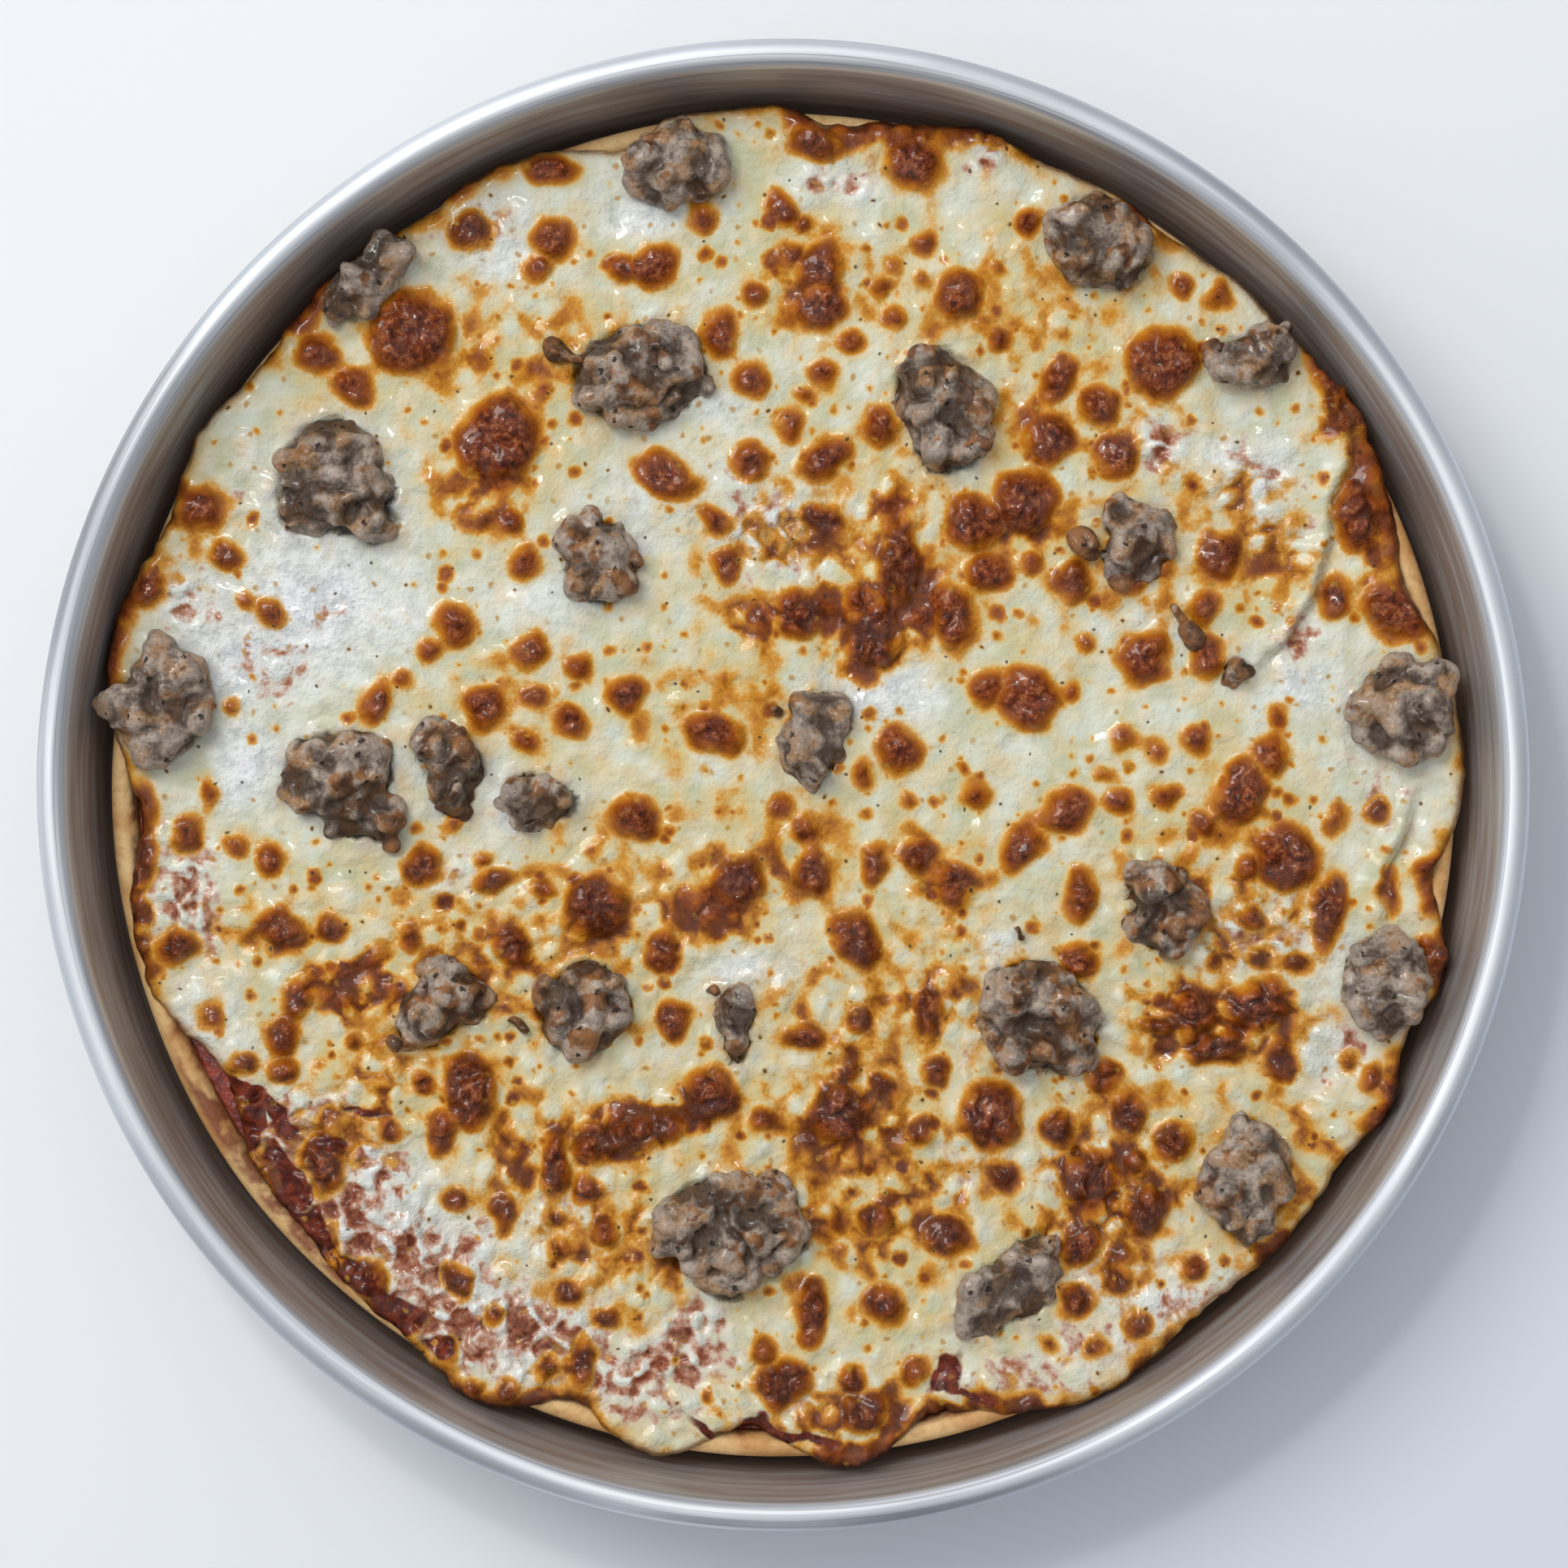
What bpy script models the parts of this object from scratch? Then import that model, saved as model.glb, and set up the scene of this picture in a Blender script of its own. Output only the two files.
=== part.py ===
"""A deep dish sausage pizza baked in its round metal pan.

Metres, +Z up. The origin is under the middle of the pan, on the plane that it
stands on. From the bottom up the pieces are the pan, the dough with its low
lip, the sauce lying in the dough, the cheese that laps over the lip, and the
lumps of sausage, each sitting in its own pocket in the cheese.
"""

import math

import bmesh
import bpy
from mathutils import Vector, geometry, noise

MM = 0.001
TURN = 2 * math.pi

# The pan, a 12 inch pan that is one and a half inches deep
MOUTH_RADIUS = 152.4 * MM
PAN_HEIGHT = 38.4 * MM
SHEET = 1.5 * MM
WALL_TAPER = 0.17
BEAD_RADIUS = 3.3 * MM
FLOOR_FILLET = 4.0 * MM
PAN_SEGMENTS = 72

# The layers of food, by height above the plane that the pan stands on
GAP = 0.3 * MM
CRUST_BOTTOM = SHEET + GAP
BOWL_FLOOR = 14.0 * MM
LIP_TOP = 19.6 * MM
SAUCE_TOP = 16.5 * MM
CHEESE_BOTTOM = SAUCE_TOP + GAP
CHEESE_TOP = 20.6 * MM
FOOD_SEGMENTS = 72

# The dough, by radius; its side and the sauce's wander a little from a true circle
CRUST_RADIUS = 145.2 * MM
LIP_WIDTH = 5.6 * MM
SAUCE_RADIUS = CRUST_RADIUS - LIP_WIDTH
LIP_CREST_RADIUS = CRUST_RADIUS - 2.2 * MM
DOUGH_WOBBLE = 0.5 * MM

# The cheese's outline: its plain radius, the lobes that lap over the lip and
# the bays that stop short of it, as (direction, half width in degrees, reach in mm)
CHEESE_RADIUS = 144.2 * MM
LAPS = (
    (3, 7, 3.2), (34, 6, 4.6), (47, 5, 1.8), (61, 5, 2.0), (73, 5, 4.0), (92, 5, 2.8),
    (99, 3, 2.0), (115, 6, 2.8), (131, 6, 3.0), (149, 4, 3.4), (168, 7, 4.9), (243, 5, 4.8),
    (259, 4, 3.4), (276, 4, 4.8), (298, 7, 4.6), (318, 7, 2.2), (332, 4, 4.7), (344, 4, 4.9),
)
BAYS = (
    (18, 4, -3.6), (86, 3, -2.0), (104, 3, -3.6), (183, 6, -5.2), (208, 7, -8.0),
    (222, 7, -3.0), (251, 3, -4.4), (267, 4, -5.6), (284, 5, -5.2), (352, 3, -3.0),
)
OUTLINE_POINTS = 120
WALL_CLEARANCE = 0.5 * MM

# The cheese's top: a rise where it lies on the dough's lip, and slow waves, as
# (length, height) of each wave
LIP_RISE = 0.9 * MM
LIP_RISE_START = 128 * MM
LIP_RISE_WIDTH = 13 * MM
WAVES = ((19 * MM, 0.7 * MM), (8 * MM, 0.4 * MM))
EDGE_DROP = 0.5 * MM

# Points on the cheese's top: rings round each blister, as (share of its radius,
# points, least distance to others), then an even fill
BLISTER_LOOPS = ((0.0, 1, 2.0 * MM), (0.62, 6, 1.6 * MM), (1.0, 7, 1.8 * MM))
FILL_SPACING = 9.5 * MM
FILL_APART = 4.2 * MM

# Browned blisters that stand out of the cheese: x, y and radius in mm. A blister is
# BLISTER_RISE high, and BLISTER_GROWTH more for each millimetre of its radius.
BLISTER_RISE = 0.9 * MM
BLISTER_GROWTH = 0.14
BLISTERS = (
    (-80, 97, 9.6), (-61, 74, 9.0), (-25, 67, 5.6), (-71, 34, 4.4), (-64, 17, 4.6), (-34, 19, 4.2),
    (-15, 11.5, 5.2), (-28, 111, 4.6), (-50, 118, 4.2), (-125, 59.5, 4.6), (8, 138, 4.6), (28.5, 134, 6.1),
    (7, 110, 5.6), (8, 101.5, 5.2), (38, 105, 5.6), (81.5, 91, 7.8), (68, 81.5, 4.8), (57, 74.5, 5.6),
    (71.5, 71, 4.4), (21.5, 77, 4.2), (9, 70.5, 5.0), (41, 56.5, 6.2), (52, 61, 7.4), (44, 46, 4.6),
    (62.5, 43.5, 4.4), (94.5, 50, 5.4), (77.5, 27.5, 5.8), (123.5, 57.5, 4.6), (132, 37.5, 6.2),
    (43.5, 21, 4.6), (52.5, 18.5, 6.6), (37, 36, 6.0), (25.5, 48.5, 5.6), (19, 33, 6.8), (3.5, 37, 5.4),
    (25.5, 7.5, 4.8), (98.5, -1.5, 6.2), (61, -6, 5.0), (51, -13.5, 4.4), (109, -16, 7.2), (118, -27, 5.4),
    (29, -15.5, 4.6), (37.5, -21.5, 5.2), (64, -24, 4.4), (16, -34, 5.2), (44.5, -71.5, 7.0), (12, -70.5, 6.6),
    (89, -50, 5.4), (103, -47, 6.0), (98, -56, 5.0), (65.5, -85, 5.6), (77, -91, 4.8), (0, -128.5, 6.0),
    (17.5, -135, 5.4), (21, -112, 4.4), (-32, -7, 5.2), (-77, -17.5, 4.4), (-41, -26, 7.0), (-10, -21, 6.0),
    (-68, -66, 7.0), (-107.5, -31, 5.2), (-99.5, -81.5, 5.4), (-40.5, -77, 4.8), (-32, -75, 5.0),
    (-16, -67.5, 5.6), (-49, -82, 4.6), (-89.5, -107, 4.0),
)

# Sausage: x, y, height of its foot, thickness, then its reach in eight directions,
# from +X round to the left every 45 degrees, all in mm
LOW = 17.8
HIGH = 20.8
SAUSAGE = (
    (-21.8, 134.6, HIGH, 8.0, (9.5, 8, 10, 8, 12.5, 13, 9.5, 12)),
    (-89.9, 109.2, HIGH, 7.5, (6.5, 14.5, 7, 6, 7.5, 13.5, 8.5, 5)),
    (-31.4, 88.1, LOW, 10.5, (16, 15, 11.5, 12, 15.5, 12.5, 11.5, 12)),
    (-96.4, 66.0, LOW, 10.0, (10.5, 11.5, 15, 13.5, 13, 16, 10.5, 18)),
    (-40.7, 48.1, LOW, 9.0, (10, 9.5, 10.5, 11, 7, 8, 10, 10)),
    (-134.2, 17.7, HIGH, 8.0, (11.5, 13, 13, 9, 13.5, 11, 14, 12)),
    (-94.8, -1.4, LOW, 10.0, (10.5, 14.5, 13, 15.5, 14, 8.5, 8.5, 15.5)),
    (-71.1, 3.9, LOW, 8.5, (8, 7, 9, 12, 6.5, 7.5, 12.5, 8)),
    (-53.5, -3.4, LOW, 8.0, (10.5, 6.5, 6, 8, 7.5, 7, 6, 7.5)),
    (-73.7, -47.9, LOW, 9.0, (11.5, 11, 10, 7.5, 9, 13, 7.5, 6)),
    (-41.6, -48.4, LOW, 9.0, (10, 9.5, 12, 11, 12.5, 12, 10.5, 9)),
    (-9.7, -51.8, LOW, 6.5, (3.5, 5, 9.5, 7, 3.5, 4.5, 10, 3.5)),
    (-11.4, -97.0, LOW, 10.5, (18, 16, 13, 15.5, 17, 12, 15.5, 10)),
    (49.1, -107.2, LOW, 8.5, (10, 14, 7, 6, 10, 16, 9, 10)),
    (99.7, -85.3, HIGH, 8.5, (9.5, 12, 14.5, 9, 10, 11.5, 15, 9.5)),
    (55.6, -48.8, LOW, 10.5, (13, 10, 12, 13, 14, 14.5, 13.5, 15)),
    (81.8, -26.3, LOW, 9.0, (9, 8, 10, 11, 6.5, 10, 10.5, 9)),
    (129.4, -42.5, HIGH, 8.0, (9, 10, 11.5, 9.5, 8.5, 10, 12, 10.5)),
    (134.2, 15.6, HIGH, 8.0, (11.5, 11.5, 11, 12.5, 11.5, 12, 11, 11)),
    (102.4, 92.6, HIGH, 7.5, (7.5, 9.5, 5.5, 6, 11.5, 8, 7.5, 8.5)),
    (68.6, 116.8, HIGH, 8.0, (12, 9.5, 11.5, 12, 12.5, 11, 9.5, 13)),
    (33.7, 80.6, LOW, 10.0, (10.5, 10.5, 15, 13, 9.5, 8.5, 15, 14)),
    (76.9, 53.0, LOW, 8.5, (7, 7.5, 8, 10.5, 7.5, 10, 10.5, 8)),
    (6.7, 10.4, LOW, 8.0, (6, 11.5, 10, 7, 7.5, 10, 12, 6)),
    (97.9, 25.0, LOW, 5.5, (4, 3.5, 3, 3.5, 4, 3.5, 3, 4)),
)
LUMP_SIDES = 16
LUMP_WALL_CLEARANCE = 1.0 * MM
LUMP_RAGGEDNESS = 0.35 * MM
LUMP_KNOBS = 0.9 * MM
LUMP_CROWN = 0.06
POCKET_MARGIN = 0.5 * MM
POCKET_SLOPE = 0.8 * MM
POCKET_CLEARANCE = POCKET_MARGIN + POCKET_SLOPE + 0.8 * MM
# Rings of a lump from its foot up: share of its reach, share of its thickness
LUMP_RINGS = ((0.90, 0.0), (1.0, 0.35), (0.90, 0.66), (0.58, 0.92))


def material(name, colour, roughness, metallic=0.0):
    """A plain Principled finish."""
    made = bpy.data.materials.new(name)
    made.use_nodes = True
    shader = made.node_tree.nodes["Principled BSDF"]
    shader.inputs["Base Color"].default_value = (*colour, 1.0)
    shader.inputs["Roughness"].default_value = roughness
    shader.inputs["Metallic"].default_value = metallic
    return made


def add_object(name, bm, finish, smooth_angle=40):
    """Turns a bmesh into a named object with outward faces."""
    bmesh.ops.recalc_face_normals(bm, faces=bm.faces)
    mesh = bpy.data.meshes.new(name)
    bm.to_mesh(mesh)
    bm.free()
    mesh.shade_smooth()
    mesh.set_sharp_from_angle(angle=math.radians(smooth_angle))
    mesh.materials.append(finish)
    made = bpy.data.objects.new(name, mesh)
    bpy.context.scene.collection.objects.link(made)
    return made


def smooth_step(share):
    """0 below 0, 1 above 1, and a smooth rise between them."""
    held = min(1.0, max(0.0, share))
    return held * held * (3 - 2 * held)


def ring(radius, height, segments, wobble=0.0):
    """A loop of points round the middle; wobble lets its radius wander a little."""
    points = []
    for k in range(segments):
        angle = TURN * k / segments
        wander = wobble * noise.noise(Vector((3 * math.cos(angle), 3 * math.sin(angle), 7.0)))
        reach = radius + wander
        points.append(Vector((reach * math.cos(angle), reach * math.sin(angle), height)))
    return points


def stack(rings):
    """A closed solid through a stack of rings with the same number of points."""
    bm = bmesh.new()
    loops = []
    for points in rings:
        loops.append([bm.verts.new(point) for point in points])
    count = len(loops[0])
    for lower, upper in zip(loops, loops[1:]):
        for k in range(count):
            after = (k + 1) % count
            bm.faces.new((lower[k], lower[after], upper[after], upper[k]))
    bm.faces.new(reversed(loops[0]))
    bm.faces.new(loops[-1])
    return bm


def wall_radius(height):
    """Inside radius of the pan's tapered wall at a height."""
    return MOUTH_RADIUS - (PAN_HEIGHT - BEAD_RADIUS - height) * WALL_TAPER


def arc(centre_radius, centre_height, radius, first, last, steps):
    """Points of an arc in the pan's section, from one angle in degrees to another."""
    points = []
    for k in range(steps + 1):
        angle = math.radians(first + (last - first) * k / steps)
        points.append((centre_radius + radius * math.cos(angle), centre_height + radius * math.sin(angle)))
    return points


def pan_section():
    """The sheet's section from the floor's underside, round the rim's bead, to the floor's top."""
    outer_corner = wall_radius(FLOOR_FILLET) + SHEET
    inner_corner = wall_radius(FLOOR_FILLET)
    bead_height = PAN_HEIGHT - BEAD_RADIUS
    section = arc(outer_corner - FLOOR_FILLET, FLOOR_FILLET, FLOOR_FILLET, 270, 360, 3)
    section += arc(MOUTH_RADIUS + BEAD_RADIUS, bead_height, BEAD_RADIUS, -130, 180, 8)
    fillet = FLOOR_FILLET - SHEET
    section += arc(inner_corner - fillet, FLOOR_FILLET, fillet, 360, 270, 3)
    return section


def make_pan(finish):
    rings = [ring(radius, height, PAN_SEGMENTS) for radius, height in pan_section()]
    return add_object("pan", stack(rings), finish)


def make_crust(finish):
    """The dough: a thick disc that ends in a low rounded lip along the pan's wall."""
    section = (
        (CRUST_RADIUS - 2.7 * MM, CRUST_BOTTOM),
        (CRUST_RADIUS - 0.5 * MM, CRUST_BOTTOM + 2.0 * MM),
        (CRUST_RADIUS, LIP_TOP - 2.4 * MM),
        (CRUST_RADIUS - 0.8 * MM, LIP_TOP - 0.5 * MM),
        (LIP_CREST_RADIUS, LIP_TOP),
        (SAUCE_RADIUS + 1.5 * MM, LIP_TOP - 0.9 * MM),
        (SAUCE_RADIUS, BOWL_FLOOR),
    )
    rings = [ring(radius, height, FOOD_SEGMENTS, DOUGH_WOBBLE) for radius, height in section]
    return add_object("crust", stack(rings), finish)


def make_sauce(finish):
    """The sauce: a thin round layer that fills the dough's bowl."""
    section = (
        (SAUCE_RADIUS - 0.6 * MM, BOWL_FLOOR + GAP),
        (SAUCE_RADIUS - 0.2 * MM, SAUCE_TOP - 0.5 * MM),
        (SAUCE_RADIUS - 1.0 * MM, SAUCE_TOP),
    )
    rings = [ring(radius, height, FOOD_SEGMENTS, DOUGH_WOBBLE) for radius, height in section]
    return add_object("sauce", stack(rings), finish)


def cheese_radius(angle):
    """The cheese's outline with its lobes and bays, kept clear of the pan's wall."""
    reach = CHEESE_RADIUS
    for direction, half_width, extra in LAPS + BAYS:
        apart = (math.degrees(angle) - direction + 180) % 360 - 180
        reach += extra * MM * math.exp(-((apart / half_width) ** 2))
    return min(reach, wall_radius(CHEESE_BOTTOM) - WALL_CLEARANCE)


def blister_rise(x, y):
    """How far the blisters lift the cheese at a point."""
    rise = 0.0
    for bx, by, size in BLISTERS:
        share = math.hypot(x - bx * MM, y - by * MM) / (size * MM)
        if share < 1:
            crown = BLISTER_RISE + BLISTER_GROWTH * size * MM
            rise = max(rise, crown * (1 - share * share) ** 0.7)
    return rise


def cheese_height(x, y):
    """Top of the cheese: slow waves, a rise where it laps over the lip, and blisters."""
    height = CHEESE_TOP + LIP_RISE * smooth_step((math.hypot(x, y) - LIP_RISE_START) / LIP_RISE_WIDTH)
    for layer, (length, rise) in enumerate(WAVES):
        height += rise * noise.noise(Vector((x / length, y / length, 2.0 + 3.0 * layer)))
    return height + blister_rise(x, y)


def lump_reach(reaches, angle):
    """A lump's outline in one direction: a smooth curve through its eight reaches."""
    place = (angle % TURN) / TURN * len(reaches)
    first = int(place) % len(reaches)
    after = (first + 1) % len(reaches)
    share = smooth_step(place - int(place))
    return MM * (reaches[first] * (1 - share) + reaches[after] * share)


def lump_ring(lump, grow, height, raggedness=0.0):
    """A loop of points round a lump of sausage, kept clear of the pan's wall."""
    x, y, _, _, reaches = lump
    points = []
    for k in range(LUMP_SIDES):
        angle = TURN * k / LUMP_SIDES
        reach = grow(lump_reach(reaches, angle))
        spot = Vector((x * MM + reach * math.cos(angle), y * MM + reach * math.sin(angle), 0.0))
        dent = raggedness * (1 + noise.noise(spot / (3 * MM)))
        spot -= dent * Vector((math.cos(angle), math.sin(angle), 0.0))
        limit = wall_radius(CHEESE_BOTTOM) - LUMP_WALL_CLEARANCE
        if spot.length > limit:
            spot *= limit / spot.length
        points.append(Vector((spot.x, spot.y, height)))
    return points


def make_lump(name, lump, finish):
    """One pinched lump of sausage: stacked rings with a bumpy crown."""
    foot, thickness = lump[2], lump[3]
    rings = []
    for share, level in LUMP_RINGS:
        height = (foot + thickness * level) * MM
        ragged = LUMP_RAGGEDNESS if level else 0.0
        points = lump_ring(lump, lambda reach: reach * share, height, ragged)
        if level > 0.5:
            for point in points:
                point.z += LUMP_KNOBS * noise.noise(point / (4 * MM))
        rings.append(points)
    bm = stack(rings)
    bm.faces.ensure_lookup_table()
    bmesh.ops.poke(bm, faces=[bm.faces[-1]], offset=LUMP_CROWN * thickness * MM)
    return add_object(name, bm, finish, smooth_angle=70)


class TopPoints:
    """Gathers the cheese's top points, and keeps each new one clear of those before it."""

    def __init__(self):
        self.places = []
        self.heights = []
        self.edges = []

    def add_loop(self, points):
        first = len(self.places)
        for point in points:
            self.places.append(Vector((point.x, point.y)))
            self.heights.append(point.z)
        count = len(points)
        self.edges += [(first + k, first + (k + 1) % count) for k in range(count)]

    def add(self, x, y, apart):
        spot = Vector((x, y))
        inside = spot.length < cheese_radius(math.atan2(y, x)) - apart
        if inside and all((spot - other).length > apart for other in self.places):
            self.places.append(spot)
            self.heights.append(cheese_height(x, y))


def in_pocket(x, y, margin):
    """Whether a point lies over a lump of sausage, or within a margin of one."""
    for lump in SAUSAGE:
        dx, dy = x - lump[0] * MM, y - lump[1] * MM
        if math.hypot(dx, dy) < lump_reach(lump[4], math.atan2(dy, dx)) + margin:
            return True
    return False


def outline_loop():
    """The cheese's outer edge."""
    points = []
    for k in range(OUTLINE_POINTS):
        angle = TURN * k / OUTLINE_POINTS
        reach = cheese_radius(angle)
        x, y = reach * math.cos(angle), reach * math.sin(angle)
        points.append(Vector((x, y, cheese_height(x, y) - EDGE_DROP)))
    return points


def pocket_loops(lump):
    """The floor and the rim of the pocket that a lump of sausage sits in."""
    floor = lump_ring(lump, lambda reach: reach + POCKET_MARGIN, lump[2] * MM - GAP)
    rim = lump_ring(lump, lambda reach: reach + POCKET_MARGIN + POCKET_SLOPE, 0.0)
    for point in rim:
        point.z = cheese_height(point.x, point.y)
    return floor, rim


def inside_outline(points):
    """Whether a whole loop lies well inside the cheese's outline."""
    return all(p.xy.length < cheese_radius(math.atan2(p.y, p.x)) - 1.5 * MM for p in points)


def pocket_cutter(lump):
    """A plug that cuts the pocket of a lump at the cheese's edge, where no loop fits."""
    floor, rim = pocket_loops(lump)
    well_above = CHEESE_TOP + 9 * MM
    for point in rim:
        point.z = well_above
    return stack([floor, rim])


def gather_top():
    """All points of the cheese's top: outline, pockets, blisters and an even fill."""
    top = TopPoints()
    top.add_loop(outline_loop())
    for lump in SAUSAGE:
        floor, rim = pocket_loops(lump)
        if inside_outline(rim):
            top.add_loop(rim)
            top.add_loop(floor)
    for bx, by, size in BLISTERS:
        for share, count, apart in BLISTER_LOOPS:
            for k in range(count):
                angle = TURN * k / count
                x = (bx + share * size * math.cos(angle)) * MM
                y = (by + share * size * math.sin(angle)) * MM
                if not in_pocket(x, y, POCKET_CLEARANCE):
                    top.add(x, y, apart)
    rows = int(CHEESE_RADIUS / FILL_SPACING) + 1
    for row in range(-rows, rows + 1):
        for column in range(-rows, rows + 1):
            x = (column + 0.5 * (row % 2)) * FILL_SPACING
            y = row * FILL_SPACING * math.sqrt(0.75)
            if not in_pocket(x, y, POCKET_CLEARANCE):
                top.add(x, y, FILL_APART)
    return top


def lip_groove():
    """A turned ring with the form of the dough's lip, grown by the gap: it is cut from the cheese."""
    below = CHEESE_BOTTOM - 2 * MM
    section = (
        (SAUCE_RADIUS + 0.8 * MM, below),
        (SAUCE_RADIUS + 0.8 * MM, CHEESE_BOTTOM + 0.4 * MM),
        (SAUCE_RADIUS + 1.4 * MM, LIP_TOP - 0.4 * MM),
        (LIP_CREST_RADIUS, LIP_TOP + 0.4 * MM),
        (CRUST_RADIUS - 0.6 * MM, LIP_TOP),
        (CRUST_RADIUS + 0.5 * MM, LIP_TOP - 2.0 * MM),
        (CRUST_RADIUS + 0.5 * MM, below),
    )
    loops = [ring(radius, height, FOOD_SEGMENTS, DOUGH_WOBBLE) for radius, height in section]
    bm = bmesh.new()
    turned = [[bm.verts.new(point) for point in loop] for loop in loops]
    for inner, outer in zip(turned, turned[1:] + turned[:1]):
        for k in range(FOOD_SEGMENTS):
            after = (k + 1) % FOOD_SEGMENTS
            bm.faces.new((inner[k], inner[after], outer[after], outer[k]))
    return bm


def make_cheese(finish, cutter_finish):
    """The cheese: triangles through the top points, straight sides, and a floor cut for the lip."""
    top = gather_top()
    flat, _, faces, _, _, _ = geometry.delaunay_2d_cdt(top.places, top.edges, [], 1, 1e-6)
    bm = bmesh.new()
    verts = [bm.verts.new((spot.x, spot.y, height)) for spot, height in zip(flat, top.heights)]
    for corners in faces:
        bm.faces.new([verts[k] for k in corners])
    rim = verts[:OUTLINE_POINTS]
    foot = [bm.verts.new((vert.co.x, vert.co.y, CHEESE_BOTTOM)) for vert in rim]
    for k in range(OUTLINE_POINTS):
        after = (k + 1) % OUTLINE_POINTS
        bm.faces.new((foot[k], foot[after], rim[after], rim[k]))
    bm.faces.new(reversed(foot))
    cheese = add_object("cheese", bm, finish, smooth_angle=80)
    cutters = [add_object("lip_groove", lip_groove(), cutter_finish)]
    for number, lump in enumerate(SAUSAGE, 1):
        if not inside_outline(pocket_loops(lump)[1]):
            cutters.append(add_object(f"pocket_{number:02d}", pocket_cutter(lump), cutter_finish))
    for cutter in cutters:
        cutter.hide_render = True
        cutter.display_type = "WIRE"
        cut = cheese.modifiers.new(cutter.name, "BOOLEAN")
        cut.operation = "DIFFERENCE"
        cut.object = cutter
    return cheese


def main():
    for old in list(bpy.data.objects):
        bpy.data.objects.remove(old)
    metal = material("spun_metal", (0.62, 0.63, 0.65), 0.32, 1.0)
    dough = material("baked_dough", (0.74, 0.52, 0.27), 0.75)
    tomato = material("tomato_sauce", (0.30, 0.05, 0.02), 0.45)
    melted = material("melted_cheese", (0.80, 0.72, 0.50), 0.40)
    meat = material("cooked_sausage", (0.24, 0.19, 0.16), 0.60)
    make_pan(metal)
    make_crust(dough)
    make_sauce(tomato)
    make_cheese(melted, dough)
    for number, lump in enumerate(SAUSAGE, 1):
        make_lump(f"sausage_{number:02d}", lump, meat)


main()
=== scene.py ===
# %% [markdown]
# # A deep dish pizza in its pan
#
# The solids of this pizza are already built at their true sizes: the pan, the dough, the
# sauce, the cheese and the lumps of sausage. They are plain. This script gives them their
# looks. It loads the solids as a fixed frame, models a finer piece over each of them, and
# gives every piece a material that is worked out from noise, from its place, and from a
# few values that the piece carries at its own points.

# %% Load the solids
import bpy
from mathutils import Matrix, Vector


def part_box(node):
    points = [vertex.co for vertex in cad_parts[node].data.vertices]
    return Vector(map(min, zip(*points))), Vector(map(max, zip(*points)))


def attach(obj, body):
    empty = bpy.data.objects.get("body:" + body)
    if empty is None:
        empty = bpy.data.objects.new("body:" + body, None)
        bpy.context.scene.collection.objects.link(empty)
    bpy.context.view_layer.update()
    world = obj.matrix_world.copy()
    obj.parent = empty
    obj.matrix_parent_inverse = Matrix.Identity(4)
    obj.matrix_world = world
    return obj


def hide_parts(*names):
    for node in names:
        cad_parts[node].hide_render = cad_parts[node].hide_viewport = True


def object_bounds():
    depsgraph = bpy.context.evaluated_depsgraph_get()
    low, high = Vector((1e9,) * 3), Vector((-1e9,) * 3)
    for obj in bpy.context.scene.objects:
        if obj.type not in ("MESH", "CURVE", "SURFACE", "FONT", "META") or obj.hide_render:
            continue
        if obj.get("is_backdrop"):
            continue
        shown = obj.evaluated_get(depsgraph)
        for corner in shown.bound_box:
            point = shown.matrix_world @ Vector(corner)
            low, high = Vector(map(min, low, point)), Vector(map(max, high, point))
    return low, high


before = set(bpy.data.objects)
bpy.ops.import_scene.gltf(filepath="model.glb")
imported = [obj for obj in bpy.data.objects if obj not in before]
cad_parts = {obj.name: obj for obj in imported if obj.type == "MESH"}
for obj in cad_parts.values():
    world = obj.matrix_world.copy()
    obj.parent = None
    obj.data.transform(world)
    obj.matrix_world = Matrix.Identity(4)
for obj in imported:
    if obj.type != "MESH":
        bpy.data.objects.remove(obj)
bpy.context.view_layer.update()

# %% [markdown]
# ## Units and the photograph's scale
#
# Food is easiest to think of in millimetres, so lengths here are in millimetres, and MM
# turns them into Blender's metres. The pan's rim is a circle in the photograph. Its size
# there gives the scale at the rim, and the food, which lies lower, is a little smaller in
# the picture, so one pixel there is a slightly longer stretch.

# %% Units
import math
import random

import bpy
import numpy as np
from mathutils import Vector, noise

MM = 0.001
TURN = 2 * math.pi
PHOTO_SIZE = 1932
RIM_CENTRE = (965.1, 967.1)
RIM_RADIUS_IN_PHOTO = 919.1
PAN_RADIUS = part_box("pan")[1].x / MM
BEAD_HEIGHT = 35.1
EYE_ABOVE_RIM = 1200.0
RIM_PIXEL = PAN_RADIUS / RIM_RADIUS_IN_PHOTO
FOOD_LEVEL = 18.0
FOOD_PIXEL = RIM_PIXEL * (EYE_ABOVE_RIM + BEAD_HEIGHT - FOOD_LEVEL) / EYE_ABOVE_RIM
print(f"a pixel is {RIM_PIXEL:.4f} mm at the rim and {FOOD_PIXEL:.4f} mm on the food")


def from_photo(across, down):
    """A place on the food, in mm, from the photograph's pixels."""
    return (across - RIM_CENTRE[0]) * FOOD_PIXEL, (RIM_CENTRE[1] - down) * FOOD_PIXEL


# %% [markdown]
# ## Small helpers
#
# Operators act on whatever is selected, and loading leaves the solids selected. So each
# piece starts with nothing else picked. Two more helpers read a piece's points and move
# them.

# %% Picking and moving
def pick(piece):
    """Makes a piece the only one selected."""
    bpy.ops.object.select_all(action="DESELECT")
    piece.select_set(True)
    bpy.context.view_layer.objects.active = piece


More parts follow.
